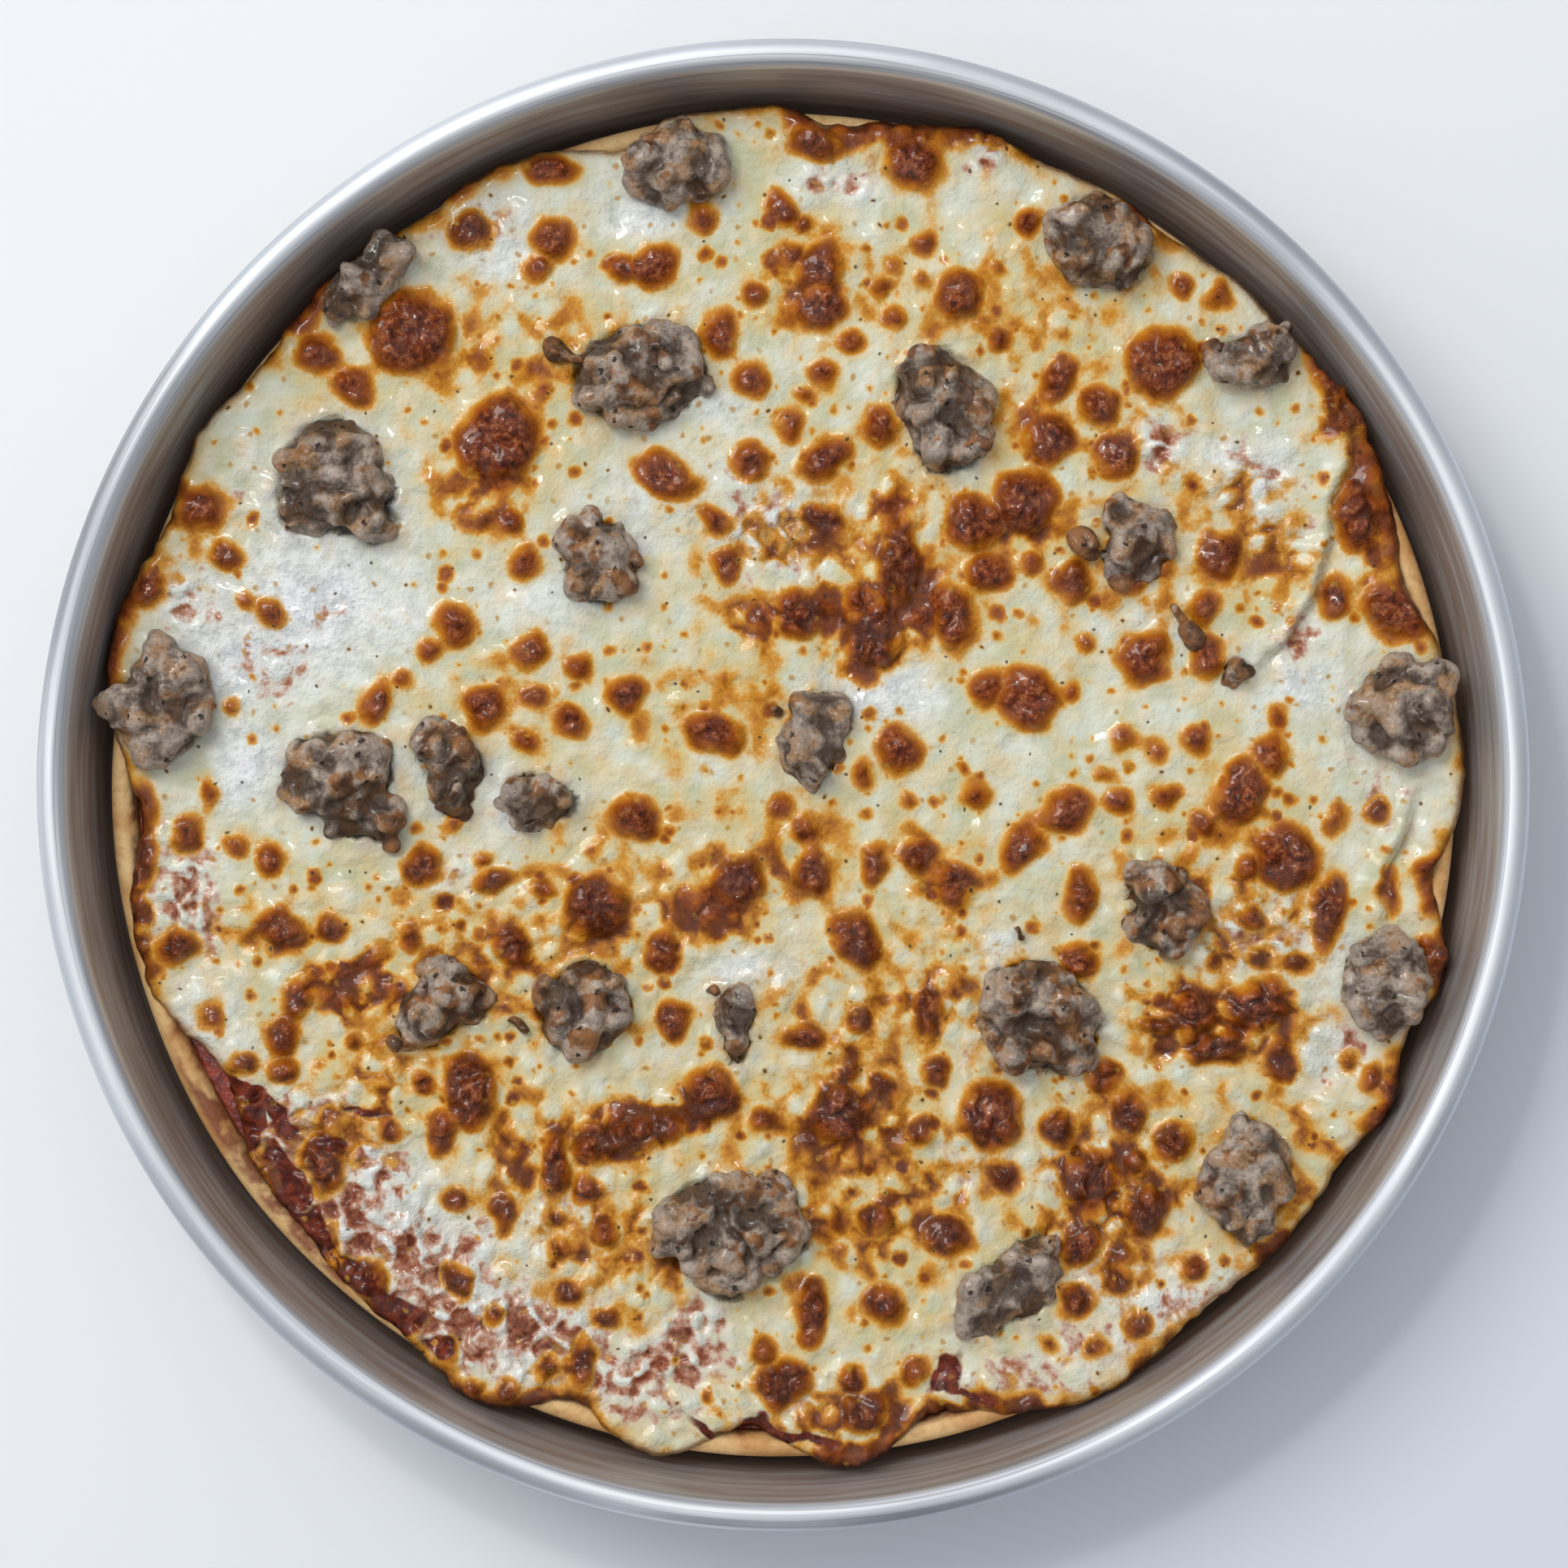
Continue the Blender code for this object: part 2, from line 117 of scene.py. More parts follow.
def corners(piece):
    """A piece's points, in mm, one row each."""
    flat = np.empty(3 * len(piece.data.vertices), np.float32)
    piece.data.vertices.foreach_get("co", flat)
    return flat.reshape(-1, 3).astype(float) / MM


def set_corners(piece, points):
    """Moves a piece's points, given in mm."""
    piece.data.vertices.foreach_set("co", (points * MM).astype(np.float32).ravel())
    piece.data.update()


# %% [markdown]
# Smooth noise at many points at once roughens outlines and heights. Each use has a layer
# of its own, so that no two follow the same hills.

# %% Noise and smooth steps
def ripple(x, y, length, layer):
    """Smooth noise from about -1 to 1; its hills are about a length apart."""
    return np.array([noise.noise(Vector((a, b, layer))) for a, b in zip(x / length, y / length)])


def ripple_in(points, length, layer):
    """The same in space, for lumps."""
    shifted = points / length + layer
    return np.array([noise.noise(Vector(spot)) for spot in shifted])


def ease(share):
    """0 below 0, 1 above 1, and a smooth rise between."""
    held = np.clip(share, 0.0, 1.0)
    return held * held * (3 - 2 * held)


# %% [markdown]
# A piece can keep numbers at its points, which its material reads later. When a piece is
# done, it gets its material and the body that it rides on, and the solids that it stands
# for are hidden.

# %% Storing and dressing
def store(piece, name, values):
    """Keeps a number at each point of a piece, for its material to read."""
    kept = piece.data.attributes.new(name, "FLOAT", "POINT")
    kept.data.foreach_set("value", np.asarray(values, np.float32))


def dress(piece, finish, slot, *nodes):
    """Gives a piece its material and its body, and hides the solids that it stands for."""
    piece.data.materials.clear()
    piece.data.materials.append(finish)
    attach(piece, "root")
    if nodes:
        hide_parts(*nodes)
    print(piece.name, "has", len(piece.data.polygons), "faces")


# %% [markdown]
# ## Writing materials
#
# A material is a chain of nodes. Two small classes make it readable. The first, `Amount`,
# wraps a number that varies over the surface. Its operators add Math nodes, so sums can
# be written as sums.

# %% A varying amount
class Amount:
    """A number that varies over the surface."""

    def __init__(self, finish, socket):
        self.finish = finish
        self.socket = socket

    def maths(self, operation, first, second):
        sockets = {0: first, 1: second}
        return self.finish.add("ShaderNodeMath", {"operation": operation}, sockets)

    def __add__(self, other):
        return self.maths("ADD", self, other)

    __radd__ = __add__

    def __sub__(self, other):
        return self.maths("SUBTRACT", self, other)

    def __rsub__(self, other):
        return self.maths("SUBTRACT", other, self)

    def __mul__(self, other):
        return self.maths("MULTIPLY", self, other)

    __rmul__ = __mul__

    def __truediv__(self, other):
        return self.maths("DIVIDE", self, other)

    def above(self, other):
        """The larger of two amounts."""
        return self.maths("MAXIMUM", self, other)

    def below(self, other):
        """The smaller of two amounts."""
        return self.maths("MINIMUM", self, other)

    def rise(self, start, end):
        """0 up to start, 1 from end on, and smooth between; start may be the larger."""
        settings = {"interpolation_type": "SMOOTHSTEP", "clamp": True}
        sockets = {"Value": self, "From Min": start, "From Max": end}
        return self.finish.add("ShaderNodeMapRange", settings, sockets)


# %% [markdown]
# The second, `Finish`, is one material. Its `add` method makes any node from a kind, its
# settings and its sockets. The other methods are short names for what food and metal
# need: noise, cells, ramps between colours, and bumps. Lengths are in mm.

# %% One material
class Finish:
    """A material being made."""

    def __init__(self, name):
        self.material = bpy.data.materials.new(name)
        self.material.use_nodes = True
        self.tree = self.material.node_tree
        self.shader = self.tree.nodes["Principled BSDF"]
        self.place = self.add("ShaderNodeTexCoord", {}, {}, "Object")

    def feed(self, socket, value):
        """Links an amount to a socket, or sets the socket's own value."""
        if isinstance(value, Amount):
            self.tree.links.new(value.socket, socket)
        else:
            socket.default_value = value

    def add(self, kind, settings, sockets, output=0):
        """A node of a kind, with its settings, its sockets' values or links, and one output."""
        node = self.tree.nodes.new(kind)
        for name, value in settings.items():
            if name == "stops":
                self.set_stops(node.color_ramp, value)
            else:
                setattr(node, name, value)
        for name, value in sockets.items():
            self.feed(node.inputs[name], value)
        return Amount(self, node.outputs[output])

    def set_stops(self, ramp, stops):
        """Fills a colour ramp with (position, colour) stops."""
        while len(ramp.elements) < len(stops):
            ramp.elements.new(1.0)
        for element, (position, colour) in zip(ramp.elements, stops):
            element.position = position
            element.color = colour

    def noise(self, length, detail=2.0, roughness=0.5):
        """Noise from 0 to 1 whose hills are about a length in mm apart."""
        sockets = {
            "Vector": self.place,
            "Scale": 1 / (length * MM),
            "Detail": detail,
            "Roughness": roughness,
        }
        return self.add("ShaderNodeTexNoise", {}, sockets)

    def cells(self, length, where=None, flat=True):
        """Cells about a length in mm across: a random colour each, and the distance in lengths."""
        settings = {"voronoi_dimensions": "2D" if flat else "3D"}
        sockets = {"Vector": where or self.place, "Scale": 1 / (length * MM), "Randomness": 0.65}
        chance = self.add("ShaderNodeTexVoronoi", settings, sockets, "Color")
        return chance, Amount(self, chance.socket.node.outputs["Distance"])

    def shifted(self, length, distance):
        """The place, pushed about by noise of a length, both in mm."""
        sockets = {"Scale": 1 / (length * MM), "Detail": 1.0, "Vector": self.place}
        push = self.add("ShaderNodeTexNoise", {}, sockets, "Color")
        settings = {"operation": "SUBTRACT"}
        push = self.add("ShaderNodeVectorMath", settings, {0: push, 1: (0.5, 0.5, 0.5)})
        settings = {"operation": "MULTIPLY_ADD"}
        sockets = {0: push, 1: (2 * distance * MM,) * 3, 2: self.place}
        return self.add("ShaderNodeVectorMath", settings, sockets)

    def value(self, name):
        """A number that the piece carries at its points."""
        settings = {"attribute_type": "GEOMETRY", "attribute_name": name}
        return self.add("ShaderNodeAttribute", settings, {}, "Fac")

    def split(self, vector, axis):
        """One part, X, Y or Z, of a vector or a colour."""
        return self.add("ShaderNodeSeparateXYZ", {}, {0: vector}, axis)

    def mix(self, share, under, over):
        """A colour between two colours."""
        sockets = {0: share, 6: under, 7: over}
        return self.add("ShaderNodeMix", {"data_type": "RGBA"}, sockets, 2)

    def ramp(self, amount, low, high, stops):
        """A colour by an amount; the stops are (amount, colour), between low and high."""
        placed = [((at - low) / (high - low), colour) for at, colour in stops]
        share = (amount - low) * (1 / (high - low))
        return self.add("ShaderNodeValToRGB", {"stops": placed}, {"Fac": share})

    def bump(self, height, distance, normal=None):
        """A surface that height, from 0 to 1, raises by up to a distance in mm."""
        sockets = {"Height": height, "Distance": distance * MM, "Strength": 1.0}
        if normal:
            sockets["Normal"] = normal
        return self.add("ShaderNodeBump", {}, sockets)

    def wear(self, **sockets):
        """Feeds the shader's sockets, with spaces in their names written as low lines."""
        for name, value in sockets.items():
            self.feed(self.shader.inputs[name.replace("_", " ")], value)
        return self.material


# %% [markdown]
# Colours are picked from a screen, where they run from 0 to 255, and Blender works with
# linear light. So each part of a colour goes through the screen's curve.

# %% A colour from the screen
def paint(red, green, blue):
    """A colour from the 0 to 255 values that a screen shows."""
    parts = []
    for part in (red, green, blue):
        share = part / 255
        parts.append(share / 12.92 if share <= 0.04045 else ((share + 0.055) / 1.055) ** 2.4)
    return (*parts, 1.0)


# %% [markdown]
# ## The view
#
# The photograph looks straight down. A lens is chosen so that the pan's rim fills the
# same share of the picture. The Standard view transform shows colours as they are, so a
# colour that is matched stays matched.

# %% Camera and colour
bpy.context.scene.view_settings.view_transform = "Standard"

half_frame = RIM_PIXEL * PHOTO_SIZE / 2
camera_data = bpy.data.cameras.new("overhead")
camera_data.sensor_width = 36.0
camera_data.lens = camera_data.sensor_width / 2 * EYE_ABOVE_RIM / half_frame
camera = bpy.data.objects.new("overhead", camera_data)
camera.location = (
    (PHOTO_SIZE / 2 - RIM_CENTRE[0]) * RIM_PIXEL * MM,
    (RIM_CENTRE[1] - PHOTO_SIZE / 2) * RIM_PIXEL * MM,
    (EYE_ABOVE_RIM + BEAD_HEIGHT) * MM,
)
bpy.context.scene.collection.objects.link(camera)
bpy.context.scene.camera = camera
print("lens", round(camera_data.lens, 1), "mm")

# %% [markdown]
# ## Light and table
#
# The table is bright and slightly blue. Its colour is a little darker to the lower right,
# a painted shade of the light falling off. The light is a wide, even one from above, as from
# a large window and white walls, and it is weaker from the lower right. So most of it comes
# from the sky, and two lamps to the upper left add soft shadows and small glints.

# %% Table
TABLE_SIZE = 6.0
TABLE_DROP = 0.0002

bpy.ops.object.select_all(action="DESELECT")
bpy.ops.mesh.primitive_plane_add(size=TABLE_SIZE, location=(0, 0, -TABLE_DROP))
table = bpy.context.object
table.name = "table"
table_finish = Finish("pale_table")
table_x = table_finish.split(table_finish.place, "X")
table_y = table_finish.split(table_finish.place, "Y")
# painted shade: the table's colour darkens to the lower right, as the light falls off
shade = (table_x - table_y).rise(-0.08, 0.36)
table_colour = table_finish.mix(shade, paint(241, 244, 246), paint(222, 227, 236))
table.data.materials.append(table_finish.wear(Base_Color=table_colour, Roughness=0.6))
table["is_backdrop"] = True
print("table:", TABLE_SIZE, "m across")

# %% Sky
SKY_FAINT = 0.40
SKY_STRONG = 0.80
UPPER_LEFT = (-0.707, 0.707, 0.0)

sky = bpy.data.worlds.new("sky")
sky.use_nodes = True
bpy.context.scene.world = sky
sky_tree = sky.node_tree
direction = sky_tree.nodes.new("ShaderNodeTexCoord")
height = sky_tree.nodes.new("ShaderNodeSeparateXYZ")
gradient = sky_tree.nodes.new("ShaderNodeValToRGB")
facing = sky_tree.nodes.new("ShaderNodeVectorMath")
facing.operation = "DOT_PRODUCT"
facing.inputs[1].default_value = UPPER_LEFT
strength = sky_tree.nodes.new("ShaderNodeMapRange")
strength.inputs["From Min"].default_value = -0.85
strength.inputs["From Max"].default_value = 0.35
strength.inputs["To Min"].default_value = SKY_FAINT
strength.inputs["To Max"].default_value = SKY_STRONG
background = sky_tree.nodes["Background"]
sky_tree.links.new(direction.outputs["Generated"], height.inputs[0])
sky_tree.links.new(direction.outputs["Generated"], facing.inputs[0])
sky_tree.links.new(height.outputs["Z"], gradient.inputs[0])
sky_tree.links.new(facing.outputs["Value"], strength.inputs["Value"])
sky_tree.links.new(gradient.outputs[0], background.inputs["Color"])
sky_tree.links.new(strength.outputs[0], background.inputs["Strength"])
gradient.color_ramp.elements[0].color = (0.50, 0.54, 0.60, 1.0)
gradient.color_ramp.elements[0].position = 0.20
gradient.color_ramp.elements[1].color = (0.92, 0.95, 1.00, 1.0)
gradient.color_ramp.elements[1].position = 0.60
print("sky strength from", SKY_FAINT, "to", SKY_STRONG)

# %% Lamps
LAMP_COLOUR = (1.0, 0.98, 0.95)


def panel(name, place, size, power):
    """A square lamp that faces the middle of the pizza; place and size are in metres."""
    lamp = bpy.data.lights.new(name, "AREA")
    lamp.shape = "SQUARE"
    lamp.size = size
    lamp.energy = power
    lamp.color = LAMP_COLOUR
    holder = bpy.data.objects.new(name, lamp)
    holder.location = place
    holder.rotation_euler = (-Vector(place)).to_track_quat("-Z", "Y").to_euler()
    bpy.context.scene.collection.objects.link(holder)
    print(name, "lamp:", power, "W")


panel("key", (-1.50, 1.50, 2.40), size=1.50, power=41.0)
panel("glint", (-0.35, 0.55, 1.30), size=0.12, power=2.0)

# %% [markdown]
# ## The pan
#
# The pan is one sheet of metal, spun over a form: a flat floor, a rounded corner, a wall
# that leans out, and a rolled rim. A spun thing is made by turning its section round an
# axis, so the section is drawn point by point with extrude, and spin turns it.

# %% Pan section
MOUTH_RADIUS = 152.4
SHEET = 1.5
TAPER = 0.17
BEAD_RADIUS = 3.3
FLOOR_FILLET = 4.0


def arc(radius_at, height_at, radius, first, last, steps):
    """Points of an arc in a section, from one angle in degrees to another."""
    points = []
    for k in range(steps + 1):
        angle = math.radians(first + (last - first) * k / steps)
        points.append((radius_at + radius * math.cos(angle), height_at + radius * math.sin(angle)))
    return points


def wall_radius(height):
    """The wall's inner face at a height."""
    return MOUTH_RADIUS - (BEAD_HEIGHT - height) * TAPER


inner_corner = wall_radius(FLOOR_FILLET)
outer_corner = inner_corner + SHEET
inner_fillet = FLOOR_FILLET - SHEET
pan_section = [(0.0, 0.0)]
pan_section += arc(outer_corner - FLOOR_FILLET, FLOOR_FILLET, FLOOR_FILLET, 270, 360, 8)
pan_section += arc(MOUTH_RADIUS + BEAD_RADIUS, BEAD_HEIGHT, BEAD_RADIUS, -130, 180, 30)
pan_section += arc(inner_corner - inner_fillet, FLOOR_FILLET, inner_fillet, 360, 270, 8)
pan_section += [(0.0, SHEET)]
print("pan section:", len(pan_section), "points")


# %% Turn a section
def turned(name, section, steps):
    """A closed piece made by spinning a section, given from the axis and back to it."""
    bpy.ops.object.select_all(action="DESELECT")
    bpy.ops.mesh.primitive_plane_add(size=MM)
    piece = bpy.context.object
    piece.name = name
    bpy.ops.object.mode_set(mode="EDIT")
    bpy.ops.mesh.select_mode(type="VERT")
    bpy.ops.mesh.select_all(action="SELECT")
    bpy.ops.mesh.merge(type="CENTER")
    radius, height = section[0]
    bpy.ops.transform.translate(value=(radius * MM, 0, height * MM))
    for (radius, height), (after_radius, after_height) in zip(section, section[1:]):
        step = ((after_radius - radius) * MM, 0, (after_height - height) * MM)
        bpy.ops.mesh.extrude_vertices_move(TRANSFORM_OT_translate={"value": step})
    bpy.ops.mesh.select_all(action="SELECT")
    bpy.ops.mesh.spin(steps=steps, angle=TURN, center=(0, 0, 0), axis=(0, 0, 1))
    bpy.ops.mesh.select_all(action="SELECT")
    bpy.ops.mesh.remove_doubles(threshold=0.002 * MM)
    bpy.ops.mesh.normals_make_consistent(inside=False)
    bpy.ops.object.mode_set(mode="OBJECT")
    return piece


# %% [markdown]
# Spinning leaves fine rings in the metal. They follow the angle round the axis, so the
# noise is read at the radius and height, very finely, and only slowly along the way
# round. The inside is dull and brownish from many bakings, and the rim is brighter.

# %% Metal
def spun_metal():
    finish = Finish("spun_metal")
    x = finish.split(finish.place, "X")
    y = finish.split(finish.place, "Y")
    z = finish.split(finish.place, "Z")
    radius = finish.add("ShaderNodeMath", {"operation": "SQRT"}, {0: x * x + y * y})
    along = {"X": x / radius, "Y": y / radius, "Z": radius + z * 1.7}
    ways = finish.add("ShaderNodeCombineXYZ", {}, along)

    def rings(width, spread, detail):
        """Noise that changes over a width in mm across the rings and slowly along them."""
        squeeze = (spread, spread, 1 / (width * MM))
        drawn = finish.add("ShaderNodeVectorMath", {"operation": "MULTIPLY"}, {0: ways, 1: squeeze})
        sockets = {"Vector": drawn, "Scale": 1.0, "Detail": detail}
        return finish.add("ShaderNodeTexNoise", {}, sockets)

    fine = rings(0.30, 2.0, 2.0)
    broad = rings(3.5, 1.6, 3.0)
    stains = rings(6.0, 5.0, 3.0)
    scratches = rings(0.8, 1.2, 3.0).rise(0.54, 0.70)
    inside = radius.rise(MOUTH_RADIUS * MM + 0.0004, MOUTH_RADIUS * MM - 0.0006)
    baked = inside * stains.rise(0.32, 0.68)
    bare = finish.mix(broad.rise(0.30, 0.70), paint(188, 191, 197), paint(232, 235, 239))
    dulled = finish.mix(broad, paint(188, 187, 188), paint(222, 221, 222))
    colour = finish.mix(inside, bare, finish.mix(baked, dulled, paint(182, 170, 162)))
    colour = finish.mix(scratches * 0.45, colour, paint(118, 118, 122))
    _, away = finish.cells(1.6, flat=False)
    dings = away.rise(0.10, 0.04) * finish.noise(14).rise(0.55, 0.65)
    colour = finish.mix(dings * 0.6, colour, paint(90, 84, 80))
    roughness = 0.50 + 0.10 * fine + 0.12 * inside + 0.06 * broad
    normal = finish.bump(fine, 0.022)
    normal = finish.bump(broad, 0.10, normal)
    return finish.wear(Base_Color=colour, Metallic=1.0, Roughness=roughness, Normal=normal)


pan = turned("pan_spun", pan_section, 288)
pick(pan)
bpy.ops.object.shade_smooth_by_angle(angle=math.radians(40))
dress(pan, spun_metal(), "spun_metal", "pan")

# %% [markdown]
# ## The cheese's outline
#
# The cheese ran out to the pan's wall in lobes and stopped short of it in bays. The solid
# has the same lobes and bays, and they are repeated here from the same values, so that
# the fine sheet lies exactly where the solid does. Small noise makes the edge ragged.
# Each lobe or bay is a direction and a half width, in degrees, and its extra reach in mm.

# %% Outline
CRUST_RADIUS = 145.2
LIP_WIDTH = 5.6
SAUCE_RADIUS = CRUST_RADIUS - LIP_WIDTH
LIP_TOP = 19.6
CHEESE_RADIUS = 144.2
CHEESE_BOTTOM = 16.8
CHEESE_TOP = 20.6
WALL_GAP = 0.5
LAPS = (
    (3, 7, 3.2), (34, 6, 4.6), (47, 5, 1.8), (61, 5, 2.0), (73, 5, 4.0), (92, 5, 2.8), (99, 3, 2.0),
    (115, 6, 2.8), (131, 6, 3.0), (149, 4, 3.4), (168, 7, 4.9), (243, 5, 4.8), (259, 4, 3.4),
    (276, 4, 4.8), (298, 7, 4.6), (318, 7, 2.2), (332, 4, 4.7), (344, 4, 4.9),
)
BAYS = (
    (18, 4, -3.6), (86, 3, -2.0), (104, 3, -3.6), (183, 6, -5.2), (208, 7, -8.0), (222, 7, -3.0),
    (251, 3, -4.4), (267, 4, -5.6), (284, 5, -5.2), (352, 3, -3.0),
)


def outline(angle):
    """The cheese's reach in each direction, in mm, with small ragged steps."""
    reach = np.full(len(angle), CHEESE_RADIUS)
    for direction, half_width, extra in LAPS + BAYS:
        apart = (np.degrees(angle) - direction + 180) % 360 - 180
        reach += extra * np.exp(-((apart / half_width) ** 2))
    x, y = reach * np.cos(angle), reach * np.sin(angle)
    reach += 0.9 * ripple(x, y, 6.0, 31.0) + 0.5 * ripple(x, y, 2.4, 32.0)
    return np.minimum(reach, wall_radius(CHEESE_BOTTOM) - WALL_GAP)


# %% [markdown]
# ## Blisters
#
# Where steam lifted the cheese, it browned: large dark blisters, many small ones, and
# chains of them that ran together. Their places are read from the photograph, in
# its pixels: round ones as (across, down, radius), long ones as (across, down, half
# width, half height, turn in degrees). Each has three small lobes at random places, so
# that none is a plain disc.

# %% Blister places
ROUND = (
    (508, 413, 55), (615, 545, 55), (393, 438, 25), (437, 478, 22), (250, 627, 27), (278, 685, 20),
    (182, 728, 20), (580, 287, 25), (680, 298, 25), (663, 333, 15), (768, 333, 20), (805, 330, 27),
    (865, 267, 18), (925, 467, 22), (930, 365, 15), (925, 570, 22), (648, 693, 20), (628, 645, 18),
    (600, 640, 15), (560, 773, 25), (335, 755, 17), (598, 870, 27), (460, 868, 15), (650, 808, 16),
    (660, 860, 14), (717, 825, 14), (773, 857, 24), (703, 887, 20), (893, 697, 20), (1127, 203, 35),
    (1265, 273, 15), (1138, 303, 12), (1010, 330, 30), (1012, 380, 30), (975, 315, 18),
    (1180, 367, 32), (1105, 393, 13), (1230, 418, 12), (1430, 450, 45), (1353, 503, 27),
    (1290, 543, 32), (1373, 563, 25), (1087, 528, 25), (973, 522, 16), (1200, 645, 35),
    (1260, 620, 42), (1217, 705, 28), (1323, 718, 26), (1393, 710, 22), (1503, 683, 30),
    (1485, 750, 20), (1407, 810, 33), (1637, 500, 15), (1500, 365, 15), (1455, 353, 12),
    (1215, 850, 25), (1265, 860, 38), (1075, 780, 40), (985, 755, 30), (1060, 740, 22),
    (1385, 912, 13), (1472, 912, 17), (1563, 930, 22), (1585, 1057, 42), (1130, 1055, 25),
    (1180, 1090, 28), (1330, 1183, 22), (1058, 1255, 15), (1035, 1370, 40), (1153, 1320, 17),
    (1135, 1390, 17), (1087, 1335, 14), (1045, 1322, 14), (1358, 1325, 18), (1470, 1250, 30),
    (1555, 1235, 35), (1575, 1308, 20), (1445, 1405, 25), (1305, 1390, 22), (1340, 1450, 35),
    (1378, 1545, 17), (1378, 1575, 17), (1088, 1605, 25), (963, 1700, 33), (1065, 1738, 30),
    (1127, 1690, 17), (1470, 1562, 13), (525, 1067, 25), (733, 1115, 42), (910, 1085, 35),
    (412, 1143, 18), (350, 1275, 20), (735, 1405, 27), (780, 1395, 30), (820, 1385, 25),
    (875, 1350, 35), (455, 1575, 22), (992, 1020, 18), (1640, 470, 24), (1668, 520, 20),
    (1625, 445, 18), (305, 743, 8), (530, 803, 14), (498, 837, 9), (655, 805, 20), (647, 913, 14),
    (293, 1038, 12), (287, 870, 9), (667, 1097, 12), (597, 1060, 9), (962, 262, 20), (990, 272, 12),
    (1085, 352, 14), (1100, 330, 9), (1137, 350, 10), (1230, 337, 9), (1013, 463, 15),
    (1050, 417, 12), (1270, 695, 12), (1340, 795, 10), (963, 995, 12), (1203, 983, 17),
    (1117, 987, 8), (1425, 927, 8), (1437, 983, 16), (1377, 987, 12), (1360, 953, 9),
    (1573, 883, 10), (1480, 1015, 14), (1537, 1068, 15), (1540, 1133, 15), (1550, 1180, 14),
    (1497, 1183, 10), (1600, 1187, 12), (1530, 1240, 26), (1690, 1327, 16), (1663, 1307, 8),
    (1697, 1000, 12), (993, 490, 8), (560, 1010, 10), (905, 905, 12), (1320, 850, 9),
    (220, 1165, 25), (1768, 1172, 24), (1712, 1348, 22), (1070, 1812, 20), (1090, 1808, 14),
    (260, 1250, 12), (300, 1310, 16), (350, 1317, 18), (437, 1283, 8), (523, 1333, 10),
    (483, 1393, 13), (723, 1463, 16), (563, 1477, 14), (690, 1537, 14), (683, 1503, 10),
    (610, 1617, 11), (703, 1593, 18), (670, 1683, 14), (627, 1717, 14), (583, 1710, 14),
    (723, 1743, 8), (557, 1663, 10), (403, 1523, 14), (1000, 1407, 10), (1397, 1433, 16),
    (1353, 1657, 12), (1400, 1630, 16), (1290, 1650, 8), (1050, 1697, 16), (940, 1663, 14),
    (1263, 1730, 12), (1170, 1763, 12), (1040, 1540, 8),
)
LONG = (
    (677, 210, 33, 18, 0), (887, 415, 22, 28, 0), (820, 587, 42, 25, -25), (885, 643, 18, 12, -20),
    (880, 902, 38, 24, -10), (1007, 178, 32, 20, 0), (1303, 470, 18, 32, -30),
    (1015, 565, 38, 24, 35), (1015, 640, 30, 18, -15), (1487, 810, 20, 25, 0),
    (1670, 640, 25, 45, 10), (1717, 752, 45, 30, -20), (1640, 735, 20, 28, -20),
    (1175, 760, 28, 45, 10), (1110, 690, 28, 50, 0), (1110, 925, 27, 30, 0),
    (1527, 975, 33, 45, -25), (1313, 1000, 36, 27, 30), (1257, 1043, 22, 32, -20),
    (1637, 1120, 22, 45, -10), (1330, 1103, 20, 33, 0), (1000, 1075, 24, 32, -10),
    (1058, 1160, 26, 43, 10), (1143, 1240, 18, 30, 0), (990, 1277, 25, 20, 10),
    (1220, 1375, 38, 45, 10), (1390, 1370, 22, 28, 0), (1410, 1490, 28, 35, 0),
    (1330, 1530, 20, 25, 0), (1238, 1450, 22, 18, -20), (1080, 1502, 25, 20, 0),
    (1165, 1520, 28, 22, 0), (1000, 1615, 19, 42, 0), (1323, 1600, 25, 20, 0),
    (783, 1007, 33, 25, -10), (815, 1170, 20, 25, 0), (350, 1145, 33, 21, -20),
    (333, 1060, 15, 20, 20), (633, 1165, 24, 28, 0), (578, 1343, 34, 48, 10),
    (365, 1232, 20, 25, 0), (398, 1432, 27, 36, 15), (685, 1430, 18, 45, 0), (620, 1490, 16, 26, 0),
    (745, 1520, 17, 20, 0), (565, 1577, 17, 20, 0), (830, 1255, 20, 25, 0), (940, 1380, 18, 14, 0),
    (463, 865, 14, 28, -20), (233, 1027, 18, 24, 0), (260, 979, 8, 18, 0), (610, 1085, 26, 12, 10),
    (507, 1153, 12, 20, 0), (1078, 1065, 12, 26, -10), (1063, 953, 11, 19, 0),
    (1763, 1065, 26, 13, 20), (1712, 1100, 9, 22, 0), (1643, 1010, 8, 18, 0),
    (1500, 1290, 40, 16, 10), (1430, 1262, 26, 14, 0), (543, 1390, 16, 30, 0),
    (747, 1623, 20, 14, 0), (717, 1677, 14, 30, 0),
)
LOBES = 3
grow = random.Random(3)
domes = []
for across, down, size in ROUND:
    domes.append((*from_photo(across, down), size * FOOD_PIXEL, size * FOOD_PIXEL, 0.0))
for across, down, wide, high, turn in LONG:
    half_sizes = (wide * FOOD_PIXEL, high * FOOD_PIXEL)
    domes.append((*from_photo(across, down), *half_sizes, math.radians(turn)))
lobes = []
for place_x, place_y, wide, high, turn in domes:
    for _ in range(LOBES):
        way = grow.uniform(0, TURN)
        share = grow.uniform(0.35, 0.70)
        along, aside = share * wide * math.cos(way), share * high * math.sin(way)
        size = grow.uniform(0.28, 0.48) * math.sqrt(wide * high)
        lobe_x = place_x + along * math.cos(turn) - aside * math.sin(turn)
        lobe_y = place_y + along * math.sin(turn) + aside * math.cos(turn)
        lobes.append((lobe_x, lobe_y, size, size, 0.0))
print("blisters:", len(domes), "with lobes:", len(lobes))


